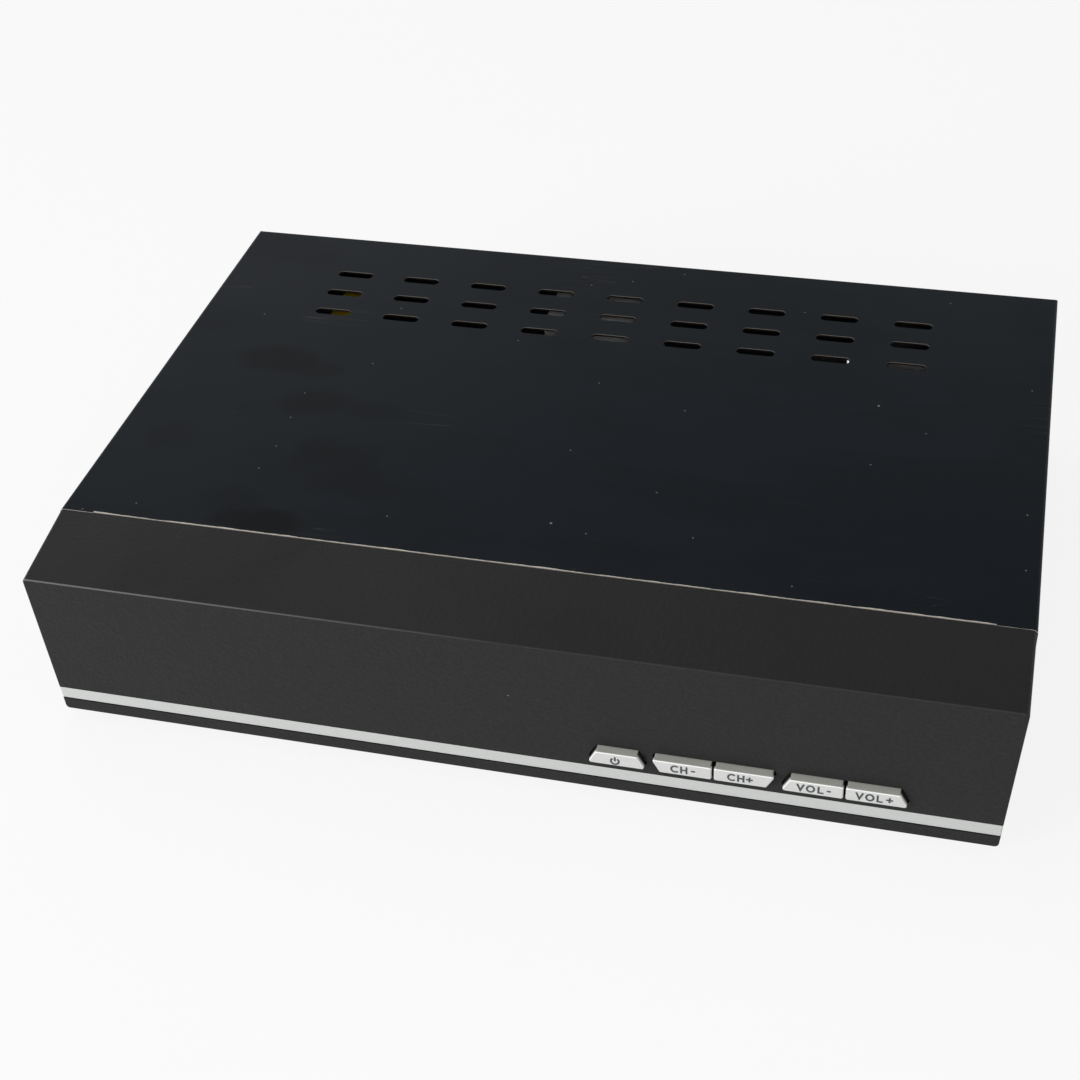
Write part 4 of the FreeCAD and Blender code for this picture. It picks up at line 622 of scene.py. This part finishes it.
def canFinish(name, top, look):
    # a shrunk sleeve up the side and bare metal on the top
    finish, tree, shader, where = newFinish(name)
    z = parts3(tree, where)[2]
    bare = both(tree, above(tree, z, top - look["top"]), above(tree, facing(tree)[2], look["topFacing"]))
    ripple = noise(tree, laid(tree, where, look["rippleLay"]), *look["ripple"])
    colour = tint(tree, bare, shade(look["sleeve"]), shade(look["metal"]))
    rough = spread(tree, ripple, *look["rough"])
    wire(tree, shader, colour, rough, ripple, look["rippleDepth"], metal=bare)
    return finish


tapeLook = {
    "colour": (0.60, 0.40, 0.012),
    "shades": (0.85, 1.12),
    "wrap": 0.0062,
    "overlap": (0.93, 0.99),
    "overlapShade": 0.55,
    "crease": (240.0, 4.0, 0.6, 0.5),
    "rough": (0.23, 0.38),
    "coat": 0.3,
    "coatRough": 0.15,
    "depth": 0.00006,
}


def tapeFinish(look):
    # polyester tape in overlapping wraps: a step in colour and height at each edge
    finish, tree, shader, where = newFinish("windingTape", Coat_Weight=look["coat"],
                                            Coat_Roughness=look["coatRough"])
    z = parts3(tree, where)[2]
    turn = calc(tree, "FRACT", calc(tree, "DIVIDE", z, look["wrap"]))
    crease = noise(tree, where, *look["crease"])
    colour = shades(tree, crease, look["colour"], look["shades"])
    overlap = shade(look["colour"], look["overlapShade"])
    colour = tint(tree, fade(tree, turn, *look["overlap"]), colour, overlap)
    rough = spread(tree, crease, *look["rough"])
    wire(tree, shader, colour, rough, add(tree, turn, crease), look["depth"])
    return finish


cableUsual = {"rough": 0.42, "fine": (900.0, 2.0), "depth": 0.00005}

cableLooks = {
    "ribbonCable": {"axis": 0, "pitch": 0.00127, "colours": ((0.42, 0.42, 0.43), (0.55, 0.55, 0.56))},
    "supplyWires": {"axis": 1, "pitch": 0.0022, "colours": ((0.45, 0.02, 0.015), (0.02, 0.02, 0.022))},
}


def cableFinish(name, look):
    # insulation whose colour alternates across the cable
    look = {**cableUsual, **look}
    finish, tree, shader, where = newFinish(name, Roughness=look["rough"])
    across = parts3(tree, where)[look["axis"]]
    turn = calc(tree, "FRACT", calc(tree, "DIVIDE", across, 2 * look["pitch"]))
    first, second = look["colours"]
    colour = tint(tree, above(tree, turn, 0.5), shade(first), shade(second))
    height = add(tree, fade(tree, turn, 0.0, 0.5), noise(tree, where, *look["fine"]))
    wire(tree, shader, colour, None, height, look["depth"])
    return finish


socketLook = {
    "body": (0.014, 0.014, 0.0145),
    "insert": (0.62, 0.17, 0.012),
    "wall": 0.0722,            # the rear wall's outer side
    "rough": (0.36, 0.48),
    "worn": (35.0, 4.0),
    "grain": (2000.0, 3.0, 0.6),
    "depth": 0.000008,
}


def socketFinish(look):
    # a black moulded body inside the case, and a coloured insert where it shows outside the wall
    finish, tree, shader, where = newFinish("audioMoulding")
    outside = above(tree, parts3(tree, where)[1], look["wall"])
    colour = tint(tree, outside, shade(look["body"]), shade(look["insert"]))
    rough = spreadNoise(tree, noise(tree, where, *look["worn"]), *look["rough"])
    wire(tree, shader, colour, rough, noise(tree, where, *look["grain"]), look["depth"])
    return finish


fuseLook = {
    "glass": (0.62, 0.66, 0.64),
    "clip": (0.60, 0.60, 0.58),
    "end": 0.0075,             # length of a cap with its clip
    "rough": 0.12,
    "fine": (700.0, 3.0),
    "depth": 0.000004,
}


def fuseFinish(look):
    # plated end caps and clips, and pale glass between them
    finish, tree, shader, where = newFinish("fuseGlass", Roughness=look["rough"])
    low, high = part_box("fuse")
    offset = calc(tree, "SUBTRACT", parts3(tree, where)[0], (low.x + high.x) / 2)
    metal = above(tree, calc(tree, "ABSOLUTE", offset), (high.x - low.x) / 2 - look["end"])
    colour = tint(tree, metal, shade(look["glass"]), shade(look["clip"]))
    wire(tree, shader, colour, None, noise(tree, where, *look["fine"]), look["depth"], metal=metal)
    return finish


canNodes = {"mainsCan": "mains_capacitor", "outputCan": "output_capacitors", "boardCan": "board_capacitors"}

finishes = {
    "cover": coverFinish(coverLook),
    "panel": panelFinish(panelLook),
    "keyPaint": keyFinish(keyLook),
    "tape": tapeFinish(tapeLook),
    "fuse": fuseFinish(fuseLook),
    "audio": socketFinish(socketLook),
}
for maker, looks in ((mouldedFinish, mouldedLooks), (platedFinish, platedLooks),
                     (boardFinish, boardLooks), (cableFinish, cableLooks)):
    for name, look in looks.items():
        finishes[name] = maker(name, look)
for name, node in canNodes.items():
    finishes[name] = canFinish(name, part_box(node)[1].z, canLook)

keyNames = ("power", "channel_down", "channel_up", "volume_down", "volume_up")

nodeFinish = {
    "cover": ["top_cover"],
    "panel": ["front_panel"],
    "stripPaint": ["trim_strip"],
    "keyPaint": [key + "_key" for key in keyNames],
    "switchPlastic": [key + "_plunger" for key in keyNames] + ["tact_switches"],
    "trayCoat": ["base_chassis"],
    "footRubber": ["rubber_feet"],
    "blackScrew": ["cover_screws"],
    "zincScrew": ["board_screws", "panel_screws", "key_board_screws"],
    "greenBoard": ["main_board", "key_board"],
    "tanBoard": ["power_board"],
    "infraredEpoxy": ["infrared_receiver"],
    "lampEpoxy": ["standby_lamp"],
    "chipEpoxy": ["decoder_chip", "memory_chips"],
    "milledAluminium": ["decoder_heatsink", "power_heatsink"],
    "boardCan": ["board_capacitors"],
    "mainsCan": ["mains_capacitor"],
    "outputCan": ["output_capacitors"],
    "ferrite": ["board_inductors", "transformer_core"],
    "copperWire": ["mains_choke"],
    "tunerTin": ["tuner_can", "tuner_lid"],
    "tinPlate": ["av_shell"],
    "nickel": ["lnb_in_socket", "lnb_out_socket", "video_shell", "data_shell", "audio_barrel",
               "inlet_pins"],
    "paleInsulator": ["lnb_insulators"],
    "goldContact": ["network_contacts"],
    "blackPlastic": ["video_tongue", "network_jack", "av_body", "mains_inlet"],
    "whiteNylon": ["data_tongue", "lead_plugs"],
    "audio": ["audio_socket"],
    "tape": ["transformer_winding"],
    "capBox": ["filter_capacitor"],
    "fuse": ["fuse"],
    "filmSheet": ["insulation_sheet"],
    "ribbonCable": ["front_cable"],
    "supplyWires": ["supply_lead"],
}

for name, members in nodeFinish.items():
    for member in members:
        for slot in nodes[member].material_slots:
            slot.material = finishes[name]
print("finishes made:", len(finishes))


# pieces made here

sharpTurn = radians(34)    # an edge that turns more than this stays sharp


def outward(points, quads):
    # turns all faces over where the volume that they enclose comes out negative
    a, b, c, d = (points[quads[:, index]] for index in range(4))
    middle = (a + b + c + d) / 4
    volume = (middle * np.cross(c - a, d - b)).sum()
    return quads if volume > 0 else quads[:, ::-1]


def addPiece(name, points, quads, finish, body="housing", smooth=True):
    # points is (n, 3) in metres in the receiver's frame; quads is (m, 4) of point numbers
    mesh = bpy.data.meshes.new(name)
    mesh.vertices.add(len(points))
    mesh.vertices.foreach_set("co", np.asarray(points, np.float32).ravel())
    quads = outward(points, quads).astype(np.int32)
    mesh.loops.add(quads.size)
    mesh.loops.foreach_set("vertex_index", quads.ravel())
    mesh.polygons.add(len(quads))
    mesh.polygons.foreach_set("loop_start", np.arange(0, quads.size, 4, dtype=np.int32))
    mesh.polygons.foreach_set("loop_total", np.full(len(quads), 4, np.int32))
    mesh.polygons.foreach_set("use_smooth", np.full(len(quads), smooth))
    mesh.update(calc_edges=True)
    mesh.validate()
    if smooth:
        mesh.set_sharp_from_angle(angle=sharpTurn)
    mesh.materials.append(finishes[finish])
    item = place(name, mesh)
    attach(item, body)
    return item


def bandQuads(numbers, wrap=True):
    # four neighbours on a table of point numbers; the last column meets the first when wrapped
    if wrap:
        numbers = np.concatenate([numbers, numbers[:, :1]], 1)
    corners = (numbers[:-1, :-1], numbers[:-1, 1:], numbers[1:, 1:], numbers[1:, :-1])
    return np.stack([corner.ravel() for corner in corners], 1)


def joined(solids):
    # several (points, quads) pairs as one pair
    starts = np.cumsum([0] + [len(points) for points, _ in solids])
    quads = [start + faces for start, (_, faces) in zip(starts, solids)]
    return np.concatenate([points for points, _ in solids]), np.concatenate(quads)


def carried(rings, level, outline):
    # each ring's radii times the outline's directions, and the ring's own level as the third part
    return np.stack([rings * outline[:, 0], rings * outline[:, 1],
                     np.repeat(level[:, None], len(outline), 1)], 2)


def threadWave(turn):
    # 1.5 less 4 times the distance from the turn's middle, held within 0 and 1, so that root and crest
    # are flat and the flanks straight
    return np.clip(1.5 - 4.0 * np.abs(turn % 1.0 - 0.5), 0.0, 1.0)


# pan-head screws with a cross recess and a thread, in mm

screwLook = {
    "head": 2.8,
    "headHeight": 1.4,
    "brim": 0.35,              # the head's round edge starts at this share of its height
    "edgeRows": 7,
    "underCut": 0.08,          # bevel where the head meets its seat
    "crown": 2.25,             # radius where the head's round edge meets its top
    "dome": 0.22,
    "armHalf": 0.165,          # half the recess's arm, a share of the crown like the next four
    "armReach": 0.62,
    "armSlope": 0.045,
    "gridInside": (0.28, 0.37, 0.46, 0.54),
    "gridOutside": (0.78, 0.90, 1.0),
    "recess": 0.95,
    "recessRise": 0.55,        # how much of its depth the recess loses out to the arms' ends
    "shank": 1.4,
    "length": 5.5,
    "tip": 0.45,
    "pitch": 0.9,
    "rowsPerTurn": 6,
    "threadDepth": 0.26,
    "threadEnd": 0.6,          # the thread stops this far before the tip
    "taperEnd": 0.4,
    "taperLength": 1.6,
    "taperLeast": 0.35,
    "places": [
        # place of the head's seat, outward axis, turn of the recess
        ((-96.0, 72.4, 41.44), "rear", 12.0),
        ((0.0, 72.4, 41.44), "rear", 57.0),
        ((96.0, 72.4, 41.44), "rear", 31.0),
        ((-111.0, -30.8, 11.0), "left", 74.0),
        ((-111.0, 50.4, 11.0), "left", 22.0),
        ((111.0, -30.8, 11.0), "right", 40.0),
        ((111.0, 50.4, 11.0), "right", 8.0),
    ],
    "axes": {"rear": ((-1, 0, 0), (0, 0, 1), (0, 1, 0)), "left": ((0, -1, 0), (0, 0, 1), (-1, 0, 0)),
             "right": ((0, 1, 0), (0, 0, 1), (1, 0, 0))},
}


def screwCrown(look):
    # a square grid laid on a disc, x = s * root(1 - t * t / 2) and y = t * root(1 - s * s / 2), whose
    # height falls with the radius squared and drops inside the cross; and the same disc as the tip
    half, slope, reach = look["armHalf"], look["armSlope"], look["armReach"]
    steps = np.array([0.0, half * 0.5, half, half + slope, *look["gridInside"], reach, reach + slope,
                      *look["gridOutside"]])
    steps = np.concatenate([-steps[:0:-1], steps])
    s, t = np.meshgrid(steps, steps, indexing="ij")
    discX, discY = s * np.sqrt(1 - t * t / 2), t * np.sqrt(1 - s * s / 2)
    radius = np.hypot(discX, discY)

    def inside(value, limit):
        return np.clip((limit + slope - np.abs(value)) / slope, 0.0, 1.0)

    cross = np.maximum(inside(s, half) * inside(t, reach), inside(t, half) * inside(s, reach))
    deep = look["recess"] * (1.0 - look["recessRise"] * np.clip(radius / reach, 0.0, 1.0))
    top = look["headHeight"] - look["dome"] * radius ** 2 - cross * deep
    crown = np.stack([discX * look["crown"], discY * look["crown"], top], 2).reshape(-1, 3)
    flat = np.stack([discX, discY, np.full(s.shape, -1.0)], 2).reshape(-1, 3)
    numbers = np.arange(s.size).reshape(s.shape)
    return crown, flat * (look["tip"], look["tip"], look["length"]), numbers


def screwShape(look):
    # rings with the crown's outline, carried down the round edge (sine and cosine of one angle), the
    # seat and the shank, whose radius follows the thread along z and round the axis
    crown, tip, numbers = screwCrown(look)
    ring = np.concatenate([numbers[0, :-1], numbers[:-1, -1], numbers[-1, :0:-1], numbers[:0:-1, 0]])
    around = crown[ring, :2] / look["crown"]
    edge = np.radians(np.linspace(0, 90, look["edgeRows"])[1:])
    fall = look["headHeight"] - look["dome"]
    edgeRadius = look["crown"] + (look["head"] - look["crown"]) * np.sin(edge)
    edgeHeight = fall * look["brim"] + fall * (1 - look["brim"]) * np.cos(edge)
    seat = [look["head"], look["head"] - look["underCut"], look["shank"]]
    headRadius = np.concatenate([edgeRadius, seat])
    headHeight = np.concatenate([edgeHeight, [look["underCut"], 0.0, 0.0]])
    z = np.arange(0.0, look["length"] - look["threadEnd"], look["pitch"] / look["rowsPerTurn"])
    angle = np.arctan2(around[:, 1], around[:, 0]) / (2 * pi)
    wave = threadWave(z[:, None] / look["pitch"] - angle[None, :])
    taper = (look["length"] - look["taperEnd"] - z) / look["taperLength"]
    taper = np.clip(taper, look["taperLeast"], 1.0)[:, None]
    shank = (look["shank"] - look["threadDepth"] * (1 - wave)) * taper
    rings = np.concatenate([np.repeat(headRadius[:, None], len(ring), 1), shank])
    side = carried(rings, np.concatenate([headHeight, -z]), around).reshape(-1, 3)
    sideNumbers = len(crown) + np.arange(len(side)).reshape(-1, len(ring))
    tipStart = len(crown) + len(side)
    table = np.concatenate([ring[None, :], sideNumbers, ring[None, :] + tipStart])
    ends = bandQuads(numbers, wrap=False)
    quads = np.concatenate([ends[:, ::-1], bandQuads(table), ends + tipStart])
    return np.concatenate([crown, side, tip]), quads


def screwSet(name, look, finish, node):
    shape, faces = screwShape(look)
    screws = []
    for seat, side, turn in look["places"]:
        across, upward, out = (np.array(axis, float) for axis in look["axes"][side])
        c, s = np.cos(radians(turn)), np.sin(radians(turn))
        axes = np.stack([across * c + upward * s, upward * c - across * s, out])
        screws.append(((shape @ axes + seat) * mm, faces))
    points, quads = joined(screws)
    item = addPiece(name, points, quads, finish)
    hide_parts(node)


screwSet("coverScrewSet", screwLook, "blackScrew", "cover_screws")


# threaded aerial sockets with a hexagon at the root, in mm

barrelLook = {
    "radius": 4.75,
    "bore": 3.7,
    "pitch": 0.794,
    "threadDepth": 0.36,
    "neck": 0.7,               # the thread rises over this length after the hexagon
    "threadEnd": 0.35,         # from the mouth
    "mouthChamfer": 0.20,
    "boreChamfer": 0.12,
    "hexagon": 5.5,            # corner radius
    "hexagonStart": 1.0,       # from the socket's inner end
    "hexagonEnd": 3.2,
    "chamfer": 0.45,
    "chamferRows": 8,
    "coneSlope": 1.9,
    "coneStart": 0.985,        # the front cone's radius at its end, as a share of the hexagon's flat
    "columns": 72,
    "rowsPerTurn": 9,
}


def barrelShape(look, length):
    # one closed profile carried round y: bore, root, hexagon (radius = flat / cos of the angle from
    # the middle of its side, cut by a cone at its front), thread, chamfered mouth and bore again
    angle = 2 * pi * np.arange(look["columns"]) / look["columns"]
    flat = look["hexagon"] * np.cos(pi / 6)
    hexagon = flat / np.cos(angle % (pi / 3) - pi / 6)
    chamfer = look["hexagonEnd"] - look["chamfer"] * np.linspace(1, 0, look["chamferRows"])
    nutY = np.concatenate([[look["hexagonStart"]], chamfer])
    cone = flat * look["coneStart"] + (look["hexagonEnd"] - nutY) * look["coneSlope"]
    nut = np.minimum(hexagon[None, :], cone[:, None])
    y = np.arange(look["hexagonEnd"], length - look["threadEnd"], look["pitch"] / look["rowsPerTurn"])
    wave = threadWave(y[:, None] / look["pitch"] - angle[None, :] / (2 * pi))
    rise = np.clip((y - look["hexagonEnd"]) / look["neck"], 0, 1)[:, None]
    thread = look["radius"] - look["threadDepth"] * (1 - wave * rise)

    def even(*radii):
        return np.repeat(np.array(radii)[:, None], look["columns"], 1)

    root, bore = look["radius"] - look["threadDepth"], look["bore"]
    mouthRings = even(root, root - look["mouthChamfer"], bore + look["boreChamfer"], bore, bore)
    mouthY = [length - look["mouthChamfer"], length, length, length - look["boreChamfer"], 0.0]
    rings = np.concatenate([even(bore, root, root), nut, thread, mouthRings])
    level = np.concatenate([[0.0, 0.0, look["hexagonStart"]], nutY, y, mouthY])
    points = carried(rings, level, np.stack([np.cos(angle), np.sin(angle)], 1))
    numbers = np.arange(level.size * angle.size).reshape(level.size, -1)
    return points[..., [0, 2, 1]].reshape(-1, 3), bandQuads(numbers)


for node, name in (("lnb_in_socket", "aerialInBarrel"), ("lnb_out_socket", "aerialOutBarrel")):
    low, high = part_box(node)
    shape, faces = barrelShape(barrelLook, (high.y - low.y) / mm)
    points = shape * mm + ((low.x + high.x) / 2, low.y, (low.z + high.z) / 2)
    barrel = addPiece(name, points, faces, "nickel")
    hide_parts(node)
print("screws and aerial sockets made")


# key legends: strokes of one width on each key's face, in mm

legendLook = {
    "stroke": 0.45,
    "capHeight": 2.10,
    "low": 10.45,              # the letters' foot above the tray's underside
    "proud": 0.02,
    "sunk": 0.02,              # how far the ink's back lies inside the key
    "arcSteps": 24,
    "overshoot": 0.05,         # round letters are this much taller at head and foot
    "cRadius": 0.86,
    "cMouth": (46, 314),       # where the C's arc starts and ends, in degrees
    "oRadius": 1.0,
    "hWidth": 1.62,
    "vX": (0.20, 0.93, 1.66),
    "vFoot": 0.28,
    "lWidth": 1.34,
    "plusHalf": 0.75,
    "minusWidth": 0.87,
    "ring": (25.80, 0.74, 0.89),       # the power sign's middle, its height over the foot, its radius
    "ringMouth": (126, 414),
    "ringStem": 0.36,          # how far the stem stands out of the ring
    "words": {
        # left end of each word, then its letters and their places from there
        "channel_down": (38.07, (("C", 0.0), ("H", 2.18), ("-", 4.57))),
        "channel_up": (50.49, (("C", 0.0), ("H", 2.18), ("+", 4.11))),
        "volume_down": (65.35, (("V", 0.0), ("O", 2.09), ("L", 4.56), ("-", 6.55))),
        "volume_up": (77.86, (("V", 0.0), ("O", 2.13), ("L", 4.53), ("+", 6.53))),
    },
}


def arc(centre, radii, start, end, steps):
    # points at even angles on an ellipse
    angle = np.radians(np.linspace(start, end, steps))
    return np.stack([centre[0] + radii[0] * np.cos(angle), centre[1] + radii[1] * np.sin(angle)], 1)


def letterStrokes(letter, look):
    # centre lines of a letter, from its left edge and its foot
    high, half, steps = look["capHeight"], look["stroke"] / 2, look["arcSteps"]
    middle = high / 2
    tall = middle - half + look["overshoot"]
    if letter == "C":
        radius = look["cRadius"]
        return [arc((half + radius, middle), (radius, tall), *look["cMouth"], steps)]
    if letter == "O":
        radius = look["oRadius"]
        return [arc((radius, middle), (radius - half, tall), 0, 360, steps)]
    if letter == "H":
        far = look["hWidth"] - half
        return [[(half, 0), (half, high)], [(far, 0), (far, high)],
                [(2 * half, middle), (far - half, middle)]]
    if letter == "V":
        left, point, far = look["vX"]
        return [[(left, high), (point, look["vFoot"]), (far, high)]]
    if letter == "L":
        return [[(half, high), (half, half), (look["lWidth"], half)]]
    if letter == "+":
        arm = look["plusHalf"]
        return [[(0, middle), (2 * arm, middle)], [(arm, middle - arm), (arm, middle - half)],
                [(arm, middle + half), (arm, middle + arm)]]
    return [[(0, middle), (look["minusWidth"], middle)]]


def ribbon(line, width):
    # each point moves to both sides by half the width along the mean normal of its two runs,
    # divided by the cosine of half the turn, so that the strip keeps its width round a corner
    line = np.asarray(line, float)
    closed = len(line) > 2 and np.allclose(line[0], line[-1])
    run = np.diff(line, axis=0)
    run /= np.linalg.norm(run, axis=1)[:, None]
    before = np.vstack([run[-1:] if closed else run[:1], run])
    after = np.vstack([run, run[:1] if closed else run[-1:]])
    normal = np.stack([-(before + after)[:, 1], (before + after)[:, 0]], 1)
    normal /= np.linalg.norm(normal, axis=1)[:, None]
    flatNormal = np.stack([-after[:, 1], after[:, 0]], 1)
    reach = width / 2 / (normal * flatNormal).sum(1)[:, None]
    return line + normal * reach, line - normal * reach, closed


def inkStroke(line, width, front, back):
    # the strip's two edges at the ink's front and back make a four-cornered section, carried along
    # the line; a closed line's last section is its first, and an open line gets a cap at both ends
    left, right, closed = ribbon(line, width)
    section = np.stack([left, right, right, left], 1)
    depth = np.broadcast_to([front, front, back, back], section.shape[:2])
    points = np.stack([section[..., 0] * mm, depth, trayZ + section[..., 1] * mm], 2)
    if closed:
        points = points[:-1]
    numbers = np.arange(len(points) * 4).reshape(-1, 4)
    if closed:
        return points.reshape(-1, 3), bandQuads(np.concatenate([numbers, numbers[:1]]))
    caps = np.stack([numbers[0, ::-1], numbers[-1]])
    return points.reshape(-1, 3), np.concatenate([bandQuads(numbers), caps])


def legendStrokes(key, look):
    # all centre lines on one key
    if key == "power":
        middleX, rise, radius = look["ring"]
        middleZ = look["low"] + rise
        return [arc((middleX, middleZ), (radius, radius), *look["ringMouth"], look["arcSteps"]),
                [(middleX, middleZ), (middleX, middleZ + radius + look["ringStem"])]]
    left, letters = look["words"][key]
    return [np.asarray(line, float) + (left + at, look["low"])
            for letter, at in letters for line in letterStrokes(letter, look)]


for key in keyNames:
    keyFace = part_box(key + "_key")[0].y
    inkFront, inkBack = keyFace - legendLook["proud"] * mm, keyFace + legendLook["sunk"] * mm
    points, quads = joined([inkStroke(line, legendLook["stroke"], inkFront, inkBack)
                            for line in legendStrokes(key, legendLook)])
    addPiece(key + "_legend", points, quads, "keyInk", key + "_button", smooth=False)
print("legends drawn")


# floor, light and world

stageLook = {
    "paper": 0.90,
    "paperRough": 0.8,
    "paperGloss": 0.1,
    "paperHalf": 4.0,
    "paperWhite": 0.84,        # share of plain white in what the camera and reflections see of the floor
    "room": 0.25,
    "lamps": [
        # name, place, size, power in W
        ("left", (-1.15, -1.20, 0.48), 0.90, 21.0),
        ("right", (0.40, -1.47, 1.24), 0.45, 11.0),
        ("above", (-0.50, 0.35, 1.20), 0.90, 2.5),
        ("rear", (-0.85, 1.10, 0.75), 1.10, 1.5),
    ],
    "aim": (0.0, 0.0, 0.03),
}


def seenDirectly(tree):
    # 1 for rays from the camera, from a gloss or through glass
    path = tree.nodes.new("ShaderNodeLightPath").outputs
    return larger(tree, larger(tree, path["Is Camera Ray"], path["Is Glossy Ray"]),
                  path["Is Transmission Ray"])


def mixShaders(tree, share, first, second, output):
    mixed = tree.nodes.new("ShaderNodeMixShader")
    for index, source in enumerate((share, first, second)):
        tree.links.new(source, mixed.inputs[index])
    tree.links.new(mixed.outputs[0], output.inputs["Surface"])


def floorPlane(look):
    # the paper's own shading under a share of plain white, so that it stays pale and keeps the shadow
    half = look["paperHalf"]
    mesh = bpy.data.meshes.new("floor")
    mesh.from_pydata([(-half, -half, 0.0), (half, -half, 0.0), (half, half, 0.0), (-half, half, 0.0)],
                     [], [(0, 1, 2, 3)])
    mesh.update()
    finish, tree, shader, _ = newFinish("floorPaper", Roughness=look["paperRough"],
                                        Specular_IOR_Level=look["paperGloss"])
    shader.inputs["Base Color"].default_value = grey(look["paper"])
    white = put(tree, "Emission", {"Color": grey(1.0), "Strength": 1.0})
    share = both(tree, seenDirectly(tree), look["paperWhite"])
    mixShaders(tree, share, shader.outputs[0], white, tree.nodes["Material Output"])
    finish.cycles.emission_sampling = "NONE"
    mesh.materials.append(finish)
    place("floor", mesh)


floorPlane(stageLook)

for name, spot, size, power in stageLook["lamps"]:
    lampData = bpy.data.lights.new(name + "Lamp", "AREA")
    lampData.shape = "DISK"
    lampData.size = size
    lampData.energy = power
    lamp = place(name + "Lamp", lampData)
    lamp.location = spot
    aimed = Vector(spot) - Vector(stageLook["aim"])
    lamp.rotation_euler = aimed.to_track_quat("Z", "Y").to_euler()

world = bpy.data.worlds.new("room")
world.use_nodes = True
room = world.node_tree
dim = room.nodes["Background"]
dim.inputs["Color"].default_value = grey(1.0)
dim.inputs["Strength"].default_value = stageLook["room"]
bright = put(room, "Background", {"Color": grey(1.0), "Strength": 1.0})
mixShaders(room, seenDirectly(room), dim.outputs[0], bright, room.nodes["World Output"])
bpy.context.scene.world = world
bpy.context.scene.view_settings.view_transform = "Standard"
print("stage lit")
